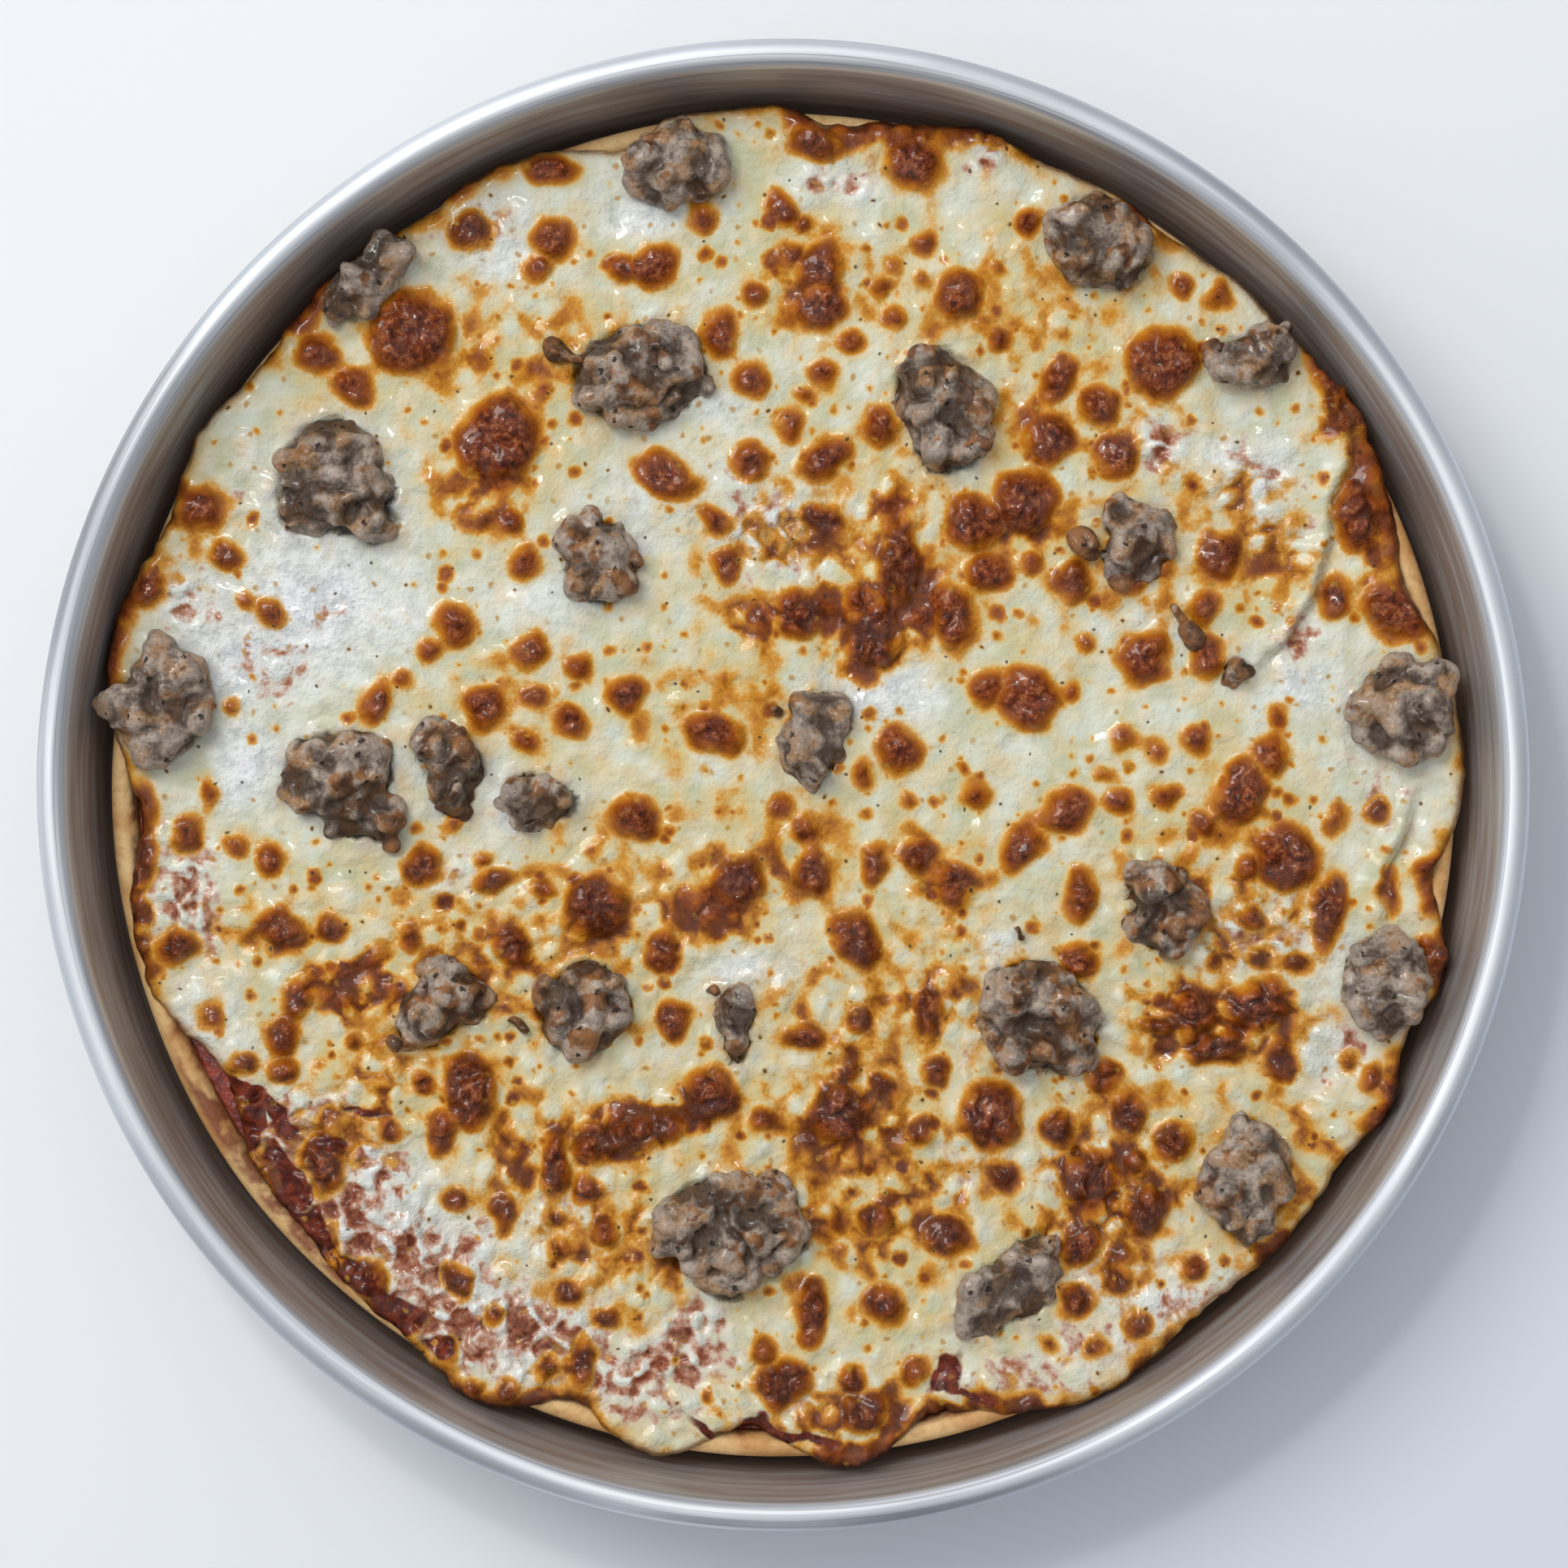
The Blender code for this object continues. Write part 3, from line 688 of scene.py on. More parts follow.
# %% [markdown]
# The blisters run together in bumpy shapes, because a point is pushed about by noise
# before its distance to each blister is taken. The depth inside a blister says later how
# brown the cheese is there, and the dome is how far it stands up.

# %% Depth inside a blister
def nearby(push_x, push_y, place_x, place_y, wide, high, turn):
    """The points near an ellipse, and how far out in it each lies, 1 at its edge."""
    reach = max(wide, high) + 9
    near = np.nonzero((abs(push_x - place_x) < reach) & (abs(push_y - place_y) < reach))[0]
    over_x, over_y = push_x[near] - place_x, push_y[near] - place_y
    along = (over_x * math.cos(turn) + over_y * math.sin(turn)) / wide
    aside = (over_y * math.cos(turn) - over_x * math.sin(turn)) / high
    return near, np.hypot(along, aside)


def blister_fields(x, y):
    """At each point: depth inside the nearest blister in mm, below 0 outside, and its height."""
    push_x = x + 1.4 * ripple(x, y, 7.0, 41.0) + 0.5 * ripple(x, y, 3.2, 42.0)
    push_y = y + 1.4 * ripple(x, y, 7.0, 43.0) + 0.5 * ripple(x, y, 3.2, 44.0)
    depth = np.full(len(x), -12.0)
    dome = np.zeros(len(x))
    lump = np.zeros(len(x))
    for place_x, place_y, wide, high, turn in domes:
        near, share = nearby(push_x, push_y, place_x, place_y, wide, high, turn)
        size = math.sqrt(wide * high)
        inner = (0.93 - share) * size - 0.2
        steep = inner * (1 + 0.6 * math.exp(-size / 3))
        depth[near] = np.maximum(depth[near], np.minimum(inner, steep))
        crown = 0.62 * size**0.75 * np.clip(1 - share * share, 0, 1) ** 0.55
        dome[near] = np.maximum(dome[near], crown)
    for place_x, place_y, wide, high, turn in lobes:
        near, share = nearby(push_x, push_y, place_x, place_y, wide, high, turn)
        depth[near] = np.maximum(depth[near], (1 - share) * wide - 0.3)
        crown = 0.42 * wide**0.9 * np.sqrt(np.clip(1 - share * share, 0, 1))
        lump[near] = np.maximum(lump[near], crown)
    return depth, dome + lump


# %% [markdown]
# ## Broad patches
#
# Besides the blisters the cheese has broad patches: toasted amber ones, milky wet ones,
# thin ones where the sauce shines through, and a few that are bare of cheese. Each is a
# soft blot at a place read from the photograph, as (across, down, half width, half
# height, turn in degrees, strength).

# %% Patches
TOASTED = (
    (985, 760, 85, 30, 10, 1.0), (1110, 735, 60, 60, 0, 0.9), (1075, 790, 50, 40, 0, 0.9),
    (1500, 1262, 85, 35, 5, 1.0), (1575, 1310, 30, 20, 0, 0.9), (445, 1215, 55, 35, 0, 0.9),
    (790, 1385, 95, 32, 12, 1.0), (865, 1120, 60, 32, 15, 0.9), (1340, 1455, 45, 50, 0, 0.8),
    (560, 440, 110, 60, 0, 0.4), (600, 600, 60, 60, 0, 0.6), (1100, 640, 50, 80, 0, 0.55),
    (1245, 650, 85, 50, 0, 0.6), (760, 1060, 130, 60, 0, 0.3), (560, 1150, 150, 60, 0, 0.3),
    (1040, 1380, 80, 60, 0, 0.6), (630, 1420, 60, 80, 0, 0.4), (1000, 350, 70, 60, 0, 0.55),
    (1400, 480, 100, 90, 0, 0.3), (620, 860, 90, 60, 0, 0.35), (1060, 1300, 90, 50, 0, 0.35),
    (1380, 1400, 80, 70, 0, 0.4), (1600, 1100, 60, 80, 0, 0.3), (1530, 980, 50, 60, 0, 0.4),
    (700, 1240, 90, 40, 0, 0.35), (1080, 170, 120, 25, 0, 0.4), (250, 660, 50, 60, 0, 0.3),
    (420, 450, 50, 50, 0, 0.3), (740, 1130, 60, 55, 0, 0.5), (520, 420, 70, 60, 0, 0.5),
    (1280, 520, 70, 70, 0, 0.4), (340, 1150, 80, 40, 0, 0.35), (590, 1340, 60, 60, 0, 0.35),
    (1684, 640, 26, 75, 8, 0.9), (1655, 492, 24, 50, -35, 0.9), (1440, 1230, 60, 30, 0, 0.4),
    (1150, 1070, 80, 50, -30, 0.4), (1060, 1480, 200, 110, 0, 0.38), (1130, 1230, 200, 90, 0, 0.34),
    (930, 1060, 170, 80, 0, 0.34), (1370, 1470, 110, 110, 0, 0.42), (1060, 680, 190, 100, 0, 0.40),
    (1400, 690, 150, 110, 0, 0.36), (760, 1540, 130, 90, 0, 0.34), (1100, 1750, 190, 50, 0, 0.42),
    (1560, 1440, 90, 110, 0, 0.36), (470, 1330, 150, 70, 30, 0.36), (1480, 1100, 120, 110, 0, 0.34),
    (620, 1180, 170, 90, 0, 0.36), (1560, 690, 60, 60, 0, 0.50), (1520, 620, 60, 40, 0, 0.40),
    (660, 440, 150, 110, 0, 0.34), (1250, 390, 170, 100, 0, 0.34), (900, 880, 150, 80, 0, 0.32),
)
MILKY = (
    (380, 750, 120, 90, 0, 1.0), (290, 820, 60, 70, 0, 1.0), (300, 940, 40, 60, 0, 0.9),
    (620, 310, 70, 60, 0, 0.6), (800, 620, 90, 60, 0, 0.4), (640, 1000, 50, 30, 0, 0.6),
    (1080, 860, 60, 40, 0, 0.9), (1540, 590, 70, 50, 0, 0.5), (250, 1280, 50, 50, 0, 0.7),
    (620, 1600, 100, 50, 0, 0.6), (590, 1520, 80, 50, 0, 0.5), (940, 1200, 60, 30, 0, 0.7),
    (1600, 840, 50, 40, 0, 0.8), (1400, 760, 60, 40, 0, 0.5), (900, 500, 50, 40, 0, 0.5),
    (1235, 1165, 30, 25, 0, 0.6), (660, 730, 100, 60, 0, 0.35), (790, 265, 60, 25, 0, 0.8),
    (480, 590, 50, 60, 0, 0.4), (1440, 1610, 70, 40, 20, 0.6), (1620, 1290, 40, 60, 0, 0.5),
    (1630, 1180, 40, 60, 0, 0.5), (960, 650, 60, 40, 0, 0.6), (500, 1500, 70, 50, 0, 0.6),
)
THIN = (
    (450, 1440, 60, 40, -20, 1.0), (520, 1540, 90, 50, -30, 0.9), (650, 1640, 100, 50, -20, 0.9),
    (400, 1390, 50, 40, 0, 1.0), (960, 655, 60, 45, 0, 1.0), (920, 600, 40, 25, 0, 0.6),
    (1425, 545, 40, 35, 0, 0.9), (1540, 590, 45, 45, 0, 0.8), (1340, 1440, 50, 60, 0, 0.9),
    (235, 1110, 45, 70, 0, 0.8), (1540, 1150, 65, 45, 0, 0.9), (1700, 990, 35, 50, 0, 0.7),
    (590, 280, 40, 35, 0, 0.8), (1045, 225, 50, 30, 0, 0.8), (230, 740, 35, 50, 0, 0.7),
    (340, 820, 50, 40, 0, 0.7), (830, 1680, 70, 45, 0, 0.8), (400, 760, 40, 40, 0, 0.5),
    (330, 1350, 50, 40, 0, 0.5), (1350, 1660, 60, 30, 0, 0.6), (850, 1640, 50, 40, 0, 0.8),
    (1225, 185, 35, 25, 0, 1.0), (1590, 780, 30, 30, 0, 0.8), (1460, 1620, 45, 40, 0, 0.7),
    (1370, 1490, 40, 50, 0, 0.8), (700, 1500, 50, 40, 0, 0.5), (350, 640, 30, 30, 0, 0.4),
    (1560, 650, 50, 40, 0, 0.7), (1650, 1290, 30, 40, 0, 0.6), (170, 1150, 20, 60, 0, 0.6),
    (300, 600, 40, 60, 0, 0.4), (1200, 1430, 40, 40, 0, 0.5), (1100, 1330, 40, 30, 0, 0.4),
    (340, 1400, 80, 60, -40, 0.9), (430, 1500, 110, 60, -45, 0.9), (580, 1640, 130, 45, -25, 0.9),
    (740, 1700, 120, 40, -10, 0.8), (1000, 1730, 90, 35, 0, 0.6), (1260, 1700, 90, 35, 15, 0.6),
    (1480, 1640, 90, 40, 35, 0.7), (1380, 1560, 70, 60, 0, 0.6), (180, 1080, 35, 110, 0, 0.7),
    (1250, 1250, 90, 50, 0, 0.4), (560, 1080, 80, 40, 0, 0.4), (1690, 880, 40, 70, 0, 0.5),
)
BARE = (
    (300, 1352, 30, 14, -35, 1.0), (345, 1378, 34, 13, -25, 1.0), (312, 1395, 22, 16, -60, 1.0),
    (352, 1450, 17, 36, 20, 1.0), (390, 1512, 17, 36, 35, 1.0), (437, 1570, 17, 36, 45, 1.0),
    (492, 1620, 16, 36, 55, 0.9), (545, 1658, 12, 26, 65, 0.7), (925, 1757, 80, 8, -3, 0.9),
    (1165, 1695, 26, 12, 30, 1.0), (1195, 1712, 30, 9, -20, 0.7), (158, 1050, 7, 50, 2, 0.9),
    (410, 1400, 30, 10, -20, 0.7), (1010, 1768, 40, 8, 0, 0.8), (445, 1360, 24, 9, -30, 0.6),
)


def blots(table, x, y, layer, ragged=4.0):
    """Soft patches from a table, 0 to 1; noise pushes their outline by up to ragged mm."""
    finer = 0.3 * ragged
    push_x = x + ragged * ripple(x, y, 9.0, layer) + finer * ripple(x, y, 3.0, layer)
    push_y = y + ragged * ripple(x, y, 9.0, layer + 1) + finer * ripple(x, y, 3.0, layer + 1)
    total = np.zeros(len(x))
    for across, down, wide, high, degrees, strength in table:
        place_x, place_y = from_photo(across, down)
        turn = math.radians(degrees)
        over_x, over_y = push_x - place_x, push_y - place_y
        along = (over_x * math.cos(turn) + over_y * math.sin(turn)) / (wide * FOOD_PIXEL)
        aside = (over_y * math.cos(turn) - over_x * math.sin(turn)) / (high * FOOD_PIXEL)
        total = np.maximum(total, strength * np.exp(-0.8 * (along**2 + aside**2)))
    return total


# %% [markdown]
# The rim of the sheet browned unevenly: in some stretches it is dark and crisp, in others
# it stayed pale. Each stretch is a direction, a half width in degrees and a strength.
# Two folds lie near the right edge, where the cheese slid over itself as it melted. Each
# fold is a line of places in the photograph, in its pixels.

# %% Browned rim and folds
BROWNED_RIM = (
    (132, 8, 1.0), (118, 6, 0.6), (81, 12, 0.9), (28, 9, 1.0), (16, 5, 0.7), (167, 7, 1.0),
    (188, 10, 0.9), (351, 5, 0.7), (345, 3, 1.3), (333, 3, 1.3), (317, 3, 0.6), (246, 9, 0.7),
    (276, 3, 1.4), (290, 6, 0.5), (225, 16, 0.6), (57, 4, 0.6), (303, 5, 0.4), (155, 4, 0.4),
    (3, 4, 0.3),
)
FOLDS = (
    (
        (1645, 490), (1664, 525), (1662, 570), (1638, 620),
        (1640, 660), (1618, 735), (1585, 790), (1535, 832),
    ),
    ((1744, 960), (1738, 990), (1731, 1025), (1708, 1067), (1701, 1098), (1708, 1140)),
)
FOLD_RISE = 2.2
FOLD_DROP = 1.2
FOLD_WIDTH = 4.0


def rim_heat(angle):
    """How strongly the rim is browned in each direction."""
    heat = np.zeros(len(angle))
    for direction, half_width, strength in BROWNED_RIM:
        apart = (np.degrees(angle) - direction + 180) % 360 - 180
        heat = np.maximum(heat, strength * np.exp(-((apart / half_width) ** 2)))
    return heat


def fold_relief(x, y):
    """How far the folds raise or lower each point, and how shaded it is at their foot."""
    relief = np.zeros(len(x))
    shade = np.zeros(len(x))
    for fold in FOLDS:
        nearest = np.full(len(x), 99.0)
        side = np.zeros(len(x))
        fade = np.zeros(len(x))
        places = [from_photo(*spot) for spot in fold]
        for k, ((start_x, start_y), (end_x, end_y)) in enumerate(zip(places, places[1:])):
            run_x, run_y = end_x - start_x, end_y - start_y
            along = (x - start_x) * run_x + (y - start_y) * run_y
            share = np.clip(along / (run_x**2 + run_y**2), 0, 1)
            away_x, away_y = x - start_x - share * run_x, y - start_y - share * run_y
            apart = np.hypot(away_x, away_y)
            closer = apart < nearest
            nearest = np.where(closer, apart, nearest)
            side = np.where(closer, np.sign(run_x * away_y - run_y * away_x), side)
            fade = np.where(closer, np.sin(math.pi * (k + share) / (len(places) - 1)), fade)
        inner = side < 0
        bulge = np.exp(-((nearest / FOLD_WIDTH) ** 2)) * np.sqrt(np.clip(fade, 0, 1))
        relief += bulge * np.where(inner, FOLD_RISE * ease(nearest / 0.9), -FOLD_DROP)
        shade = np.maximum(shade, np.exp(-((nearest / 1.1) ** 2)) * np.sqrt(np.clip(fade, 0, 1)))
    return relief, shade


# %% [markdown]
# ## Where the sausage sits
#
# Each lump of sausage has its own pocket in the cheese. The lumps' outlines are read from
# their solids: the furthest point in each of 48 directions round the lump's middle. A
# point counts for a direction when the cosine of the angle between them is over SAME_WAY.
# The cheese is pressed down under a lump and swells a little against its side.

# %% Lump outlines
LUMP_NAMES = sorted(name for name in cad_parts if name.startswith("sausage_"))
DIRECTIONS = 48
SAME_WAY = 0.97


class Lump:
    """The outline and the foot of one lump of sausage."""

    def __init__(self, name):
        points = corners(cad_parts[name])
        self.name = name
        self.foot = points[:, 2].min()
        self.x, self.y = (points[:, :2].min(0) + points[:, :2].max(0)) / 2
        away = points[:, :2] - (self.x, self.y)
        angle = np.arctan2(away[:, 1], away[:, 0])
        reach = np.hypot(away[:, 0], away[:, 1])
        self.reach = np.zeros(DIRECTIONS)
        for k in range(DIRECTIONS):
            facing = np.cos(angle - TURN * k / DIRECTIONS)
            self.reach[k] = (reach * facing)[facing > SAME_WAY].max()

    def outside(self, x, y):
        """How far each point lies outside the lump, in mm; below 0 inside it."""
        over_x, over_y = x - self.x, y - self.y
        place = np.arctan2(over_y, over_x) % TURN / TURN * DIRECTIONS
        first = place.astype(int) % DIRECTIONS
        share = place - place.astype(int)
        edge = self.reach[first] * (1 - share) + self.reach[(first + 1) % DIRECTIONS] * share
        return np.hypot(over_x, over_y) - edge


lumps = [Lump(name) for name in LUMP_NAMES]
print("lumps:", len(lumps), "widest", round(max(lump.reach.max() for lump in lumps), 1), "mm")

# %% [markdown]
# ## The sheet of cheese
#
# The sheet is a grid. A square grid becomes round when each ring of its squares is laid
# on a circle, and then its rim follows the outline, with cells of even size everywhere.
# Browned and stretched places need finer cells, so the faces there are subdivided once.

# %% Grid to disc
SHEET_CELLS = 210


def to_disc(points):
    """Lays a square grid from -1 to 1 on the cheese's outline, ring by ring."""
    a, b = points[:, 0], points[:, 1]
    ring = np.maximum(abs(a), abs(b))
    safe = np.where(ring > 0, ring, 1.0)
    side = np.where(abs(a) >= abs(b), b / safe * np.sign(a), a / safe * np.sign(b))
    from_x = np.where(a >= 0, 0.0, math.pi) + math.pi / 4 * side
    from_y = np.where(b >= 0, math.pi / 2, -math.pi / 2) - math.pi / 4 * side
    angle = np.where(abs(a) >= abs(b), from_x, from_y)
    reach = ring * outline(angle)
    return reach * np.cos(angle), reach * np.sin(angle)


bpy.ops.object.select_all(action="DESELECT")
bpy.ops.mesh.primitive_grid_add(x_subdivisions=SHEET_CELLS, y_subdivisions=SHEET_CELLS, size=2 * MM)
cheese = bpy.context.object
cheese.name = "cheese_melted"
flat_x, flat_y = to_disc(corners(cheese))
set_corners(cheese, np.column_stack([flat_x, flat_y, np.full(len(flat_x), CHEESE_TOP)]))

print("even cells:", len(cheese.data.vertices), "points")

# %% Finer cells
BROWNED_DEPTH = -0.9
STRETCHED = 0.55

depth, _ = blister_fields(flat_x, flat_y)
fine = (depth > BROWNED_DEPTH) | (blots(THIN, flat_x, flat_y, 55.0) > STRETCHED)
pick(cheese)
bpy.ops.object.mode_set(mode="EDIT")
bpy.ops.mesh.select_mode(type="VERT")
bpy.ops.mesh.select_all(action="DESELECT")
bpy.ops.object.mode_set(mode="OBJECT")
cheese.data.vertices.foreach_set("select", fine)
bpy.ops.object.mode_set(mode="EDIT")
bpy.ops.mesh.select_mode(type="FACE")
bpy.ops.mesh.subdivide(number_cuts=1)
bpy.ops.object.mode_set(mode="OBJECT")
print("cheese:", len(cheese.data.vertices), "points")

# %% [markdown]
# The height of the sheet is that of the solid, and finer. Two more kinds of relief come
# from cells: round bumps, as on a boiled surface, and the valleys between curds.

# %% Bubbles and valleys
def bubbles(x, y, size, layer):
    """Round bumps from 0 to 1, about a size apart, as on a boiled surface."""
    tops = np.empty(len(x))
    for k, (a, b) in enumerate(zip(x / size, y / size)):
        tops[k] = noise.voronoi(Vector((a, b, layer)))[0][0]
    return np.clip(1 - tops / 0.75, 0, 1)


def valleys(x, y, size, width, layer):
    """1 where two neighbouring curds meet, down to 0 at a width in mm from there."""
    push_x = x + 1.6 * ripple(x, y, 4.0, layer)
    push_y = y + 1.6 * ripple(x, y, 4.0, layer + 1)
    between = np.empty(len(x))
    for k, (a, b) in enumerate(zip(push_x / size, push_y / size)):
        nearest = noise.voronoi(Vector((a, b, layer)))[0]
        between[k] = nearest[1] - nearest[0]
    return ease(1 - between * size / width)


# %% [markdown]
# A few values serve everything that follows: how far each point lies from the middle and
# from the rim, how deep in a blister it is, and how toasted, thin or bare.

# %% What each point is
points = corners(cheese)
x, y = points[:, 0], points[:, 1]
from_middle = np.hypot(x, y)
angle = np.arctan2(y, x)
reach = outline(angle)
depth, dome = blister_fields(x, y)
inwards = reach - from_middle
toast = blots(TOASTED, x, y, 51.0)
thin = blots(THIN, x, y, 55.0)
bare = blots(BARE, x, y, 57.0, ragged=4.5)
lower_half = ease((10 - y) / 60)
broken_up = np.clip(0.12 + 1.1 * toast + 0.9 * thin + 0.45 * lower_half, 0, 1)
print(f"in a blister: {(depth > 0).mean():.0%} of the points")

# %% [markdown]
# The sheet has slow waves and rises on the dough's lip. Where it browned or stretched, it
# broke up into curds with valleys between them. Thin parts pull out into strands and lie
# lower, the bare strips lower still, and the blisters stand up with boiled tops.

# %% Waves, curds and domes
LIP_RISE = 0.9
LIP_RISE_START = 128.0
LIP_RISE_WIDTH = 13.0
CURD_SIZE = 5.5
VALLEY_WIDTH = 2.2

height = CHEESE_TOP + LIP_RISE * ease((from_middle - LIP_RISE_START) / LIP_RISE_WIDTH)
height += 0.7 * ripple(x, y, 19.0, 2.0) + 0.55 * ripple(x, y, 8.0, 5.0)
lumpy = ripple(x, y, 4.2, 8.0)
valley = valleys(x, y, CURD_SIZE, VALLEY_WIDTH, 71.0)
height += 0.38 * lumpy + broken_up * (0.70 - 1.30 * valley)
height += (0.14 + 0.14 * lower_half) * ripple(x, y, 2.2, 9.0)
strand = ease(1.15 - abs(ripple(x, y, 6.0, 14.0)) / 0.20)
fold_height, fold_shade = fold_relief(x, y)
height += fold_height
stretched = thin * (0.9 * strand + 0.3 * ripple(x, y, 2.6, 10.0) - 0.6)
height += stretched - 0.9 * ease((bare - 0.25) / 0.3)
wrinkled = np.maximum(ease((depth + 0.4) / 1.2), ease((toast - 0.45) / 0.4))
boiled = np.zeros(len(x))
rough = wrinkled > 0
boiled[rough] = bubbles(x[rough], y[rough], 2.5, 60.0)
boiled[rough] += 0.5 * bubbles(x[rough], y[rough], 1.3, 61.0)
height += dome + wrinkled * (0.5 * boiled - 0.2 + 0.2 * ripple(x, y, 1.7, 12.0))
print("highest dome:", round(dome.max(), 1), "mm")

# %% [markdown]
# Each lump presses its pocket into the sheet, and the fat that it lost lies round it, with
# a painted shade beside the lump. At the rim the sheet rounds off, down to the lip or into
# the gap beside the wall.

# %% Pockets and rim
EDGE_ROUND = 2.6
EDGE_LEVEL = 19.95
DROP_IN_GAP = 1.9
DROP_IN_BOWL = 3.0

# grease round each lump, together with a painted shade beside it
greasy = np.zeros(len(x))
for lump in lumps:
    outside = lump.outside(x, y)
    greasy = np.maximum(greasy, ease(1 - outside / 4.5))
    height += 0.6 * np.exp(-((np.maximum(outside, 0) / 1.6) ** 2)) * (outside > -1.0)
    sunk = ease((-outside - 0.8) / 0.9)
    height = height * (1 - sunk) + np.minimum(height, lump.foot - 0.3) * sunk

over_gap = ease((reach - CRUST_RADIUS - 0.4) / 1.5)
in_bowl = ease((SAUCE_RADIUS - reach) / 0.5)
edge_level = EDGE_LEVEL - DROP_IN_GAP * over_gap - DROP_IN_BOWL * in_bowl
rounding = np.sqrt(np.clip(1 - (1 - np.clip(inwards / EDGE_ROUND, 0, 1)) ** 2, 0, 1))
height = edge_level + (height - edge_level) * rounding
set_corners(cheese, np.column_stack([x, y, height]))
print("cheese height from", round(height.min(), 1), "to", round(height.max(), 1), "mm")

# %% [markdown]
# The material needs to know what each point is: how deep inside a blister, how toasted,
# how thin or milky, how near a lump, and how near the rim. These numbers are kept on the
# points before the underside is added, so that they run on over the rim.

# %% Cheese values
cheese_values = {
    "depth": depth,
    "toast": toast,
    "milk": blots(MILKY, x, y, 53.0),
    "thin": thin,
    "bare": bare,
    "greasy": greasy,
    "inwards": inwards,
    "rim_heat": rim_heat(angle),
    "curds": 0.5 + 0.4 * lumpy,
    "strand": strand,
    "clouds": 0.5 + 0.40 * ripple(x, y, 11.0, 15.0) + 0.20 * ripple(x, y, 5.5, 16.0),
    "islands": 0.5 + 0.40 * ripple(x, y, 7.0, 17.0) + 0.15 * ripple(x, y, 3.5, 18.0),
    "gloss": ease(0.5 + 1.6 * ripple(x, y, 4.5, 19.0)),
    "valley": valley * broken_up,
    "fold": fold_shade,
}
for name, values in cheese_values.items():
    store(cheese, name, values)
print("values at each point:", ", ".join(cheese_values))

# %% [markdown]
# The rim's edges are extruded four times to form the underside: in under the rim, up
# over the dough's lip, across it, and down into the bowl. A last face closes the bottom.

# %% Cheese underside
def rim_corners(piece):
    """The selected points of a piece, as their numbers."""
    chosen = np.empty(len(piece.data.vertices), bool)
    piece.data.vertices.foreach_get("select", chosen)
    return np.nonzero(chosen)[0]


def underside_steps(angle, edge_reach, edge_height):
    """For each extrusion, the radius and height of the new loop."""
    on_lip = edge_reach > SAUCE_RADIUS
    under_lip = np.where(on_lip, LIP_TOP + 0.3, edge_height - 0.1)
    yield np.minimum(edge_reach - 0.3, CRUST_RADIUS + 0.5), edge_height - 0.15
    yield np.minimum(edge_reach - 0.5, CRUST_RADIUS + 0.2), np.minimum(under_lip, LIP_TOP + 0.3)
    yield np.minimum(edge_reach - 0.9, SAUCE_RADIUS - 0.4), np.minimum(under_lip, LIP_TOP + 0.3)
    yield np.minimum(edge_reach - 1.2, SAUCE_RADIUS - 0.8), np.full(len(angle), CHEESE_BOTTOM)


pick(cheese)
bpy.ops.object.mode_set(mode="EDIT")
bpy.ops.mesh.select_mode(type="EDGE")
bpy.ops.mesh.select_all(action="DESELECT")
bpy.ops.mesh.select_non_manifold()
bpy.ops.object.mode_set(mode="OBJECT")
rim = rim_corners(cheese)
rim_points = corners(cheese)[rim]
rim_angle = np.arctan2(rim_points[:, 1], rim_points[:, 0])
steps = underside_steps(rim_angle, np.hypot(rim_points[:, 0], rim_points[:, 1]), rim_points[:, 2])
order = np.argsort(rim_angle)
for loop_radius, loop_height in steps:
    bpy.ops.object.mode_set(mode="EDIT")
    bpy.ops.mesh.extrude_region_move(TRANSFORM_OT_translate={"value": (0, 0, -0.2 * MM)})
    bpy.ops.object.mode_set(mode="OBJECT")
    new = rim_corners(cheese)
    placed = corners(cheese)
    new_angle = np.arctan2(placed[new, 1], placed[new, 0])
    new = new[np.argsort(new_angle)]
    placed[new, 0] = loop_radius[order] * np.cos(rim_angle[order])
    placed[new, 1] = loop_radius[order] * np.sin(rim_angle[order])
    placed[new, 2] = loop_height[order]
    set_corners(cheese, placed)
bpy.ops.object.mode_set(mode="EDIT")
bpy.ops.mesh.edge_face_add()
bpy.ops.mesh.select_all(action="SELECT")
bpy.ops.mesh.quads_convert_to_tris()
bpy.ops.mesh.normals_make_consistent(inside=False)
bpy.ops.object.mode_set(mode="OBJECT")
bpy.ops.object.shade_smooth()
print("cheese:", len(cheese.data.polygons), "faces")


# %% [markdown]
# ## Cheese material
#
# Melted cheese is cream where it stayed soft, and goes through amber and orange to a dark
# brown where it fried. One number, how brown a point is, chooses among those colours, and
# the rest is laid over them. The values that the sheet carries come back here as amounts
# of the same names, which take the place of the arrays.

# %% Amounts in the cheese
finish = Finish("melted_cheese")
wobbly = finish.shifted(2.6, 0.8)
grain = finish.noise(0.9, 2.0)
lace = finish.noise(2.4, 3.0)
curds = finish.value("curds")
clouds = finish.value("clouds")
islands = finish.value("islands")
depth = finish.value("depth")
toast = finish.value("toast")
milk = finish.value("milk")
thin = finish.value("thin")
greasy = finish.value("greasy") * curds.rise(0.36, 0.58)
strand = finish.value("strand")
valley = finish.value("valley")
heat = finish.value("rim_heat")
inwards = finish.value("inwards")
print("amounts:", len(finish.tree.nodes), "nodes so far")

# %% [markdown]
# How brown a point is follows its depth in a blister. Small spots are cells of random
# size, and toasted patches are noise where the sheet says so. The largest of the three
# counts, so spots and patches go through the same browns as the blisters.

# %% How brown
def spots(spacing, largest, share):
    """Depth inside small random spots, in mm."""
    chance, away = finish.cells(spacing, wobbly)
    size = finish.split(chance, "X")
    return (size - (1 - share)) * (largest / share) - away * spacing


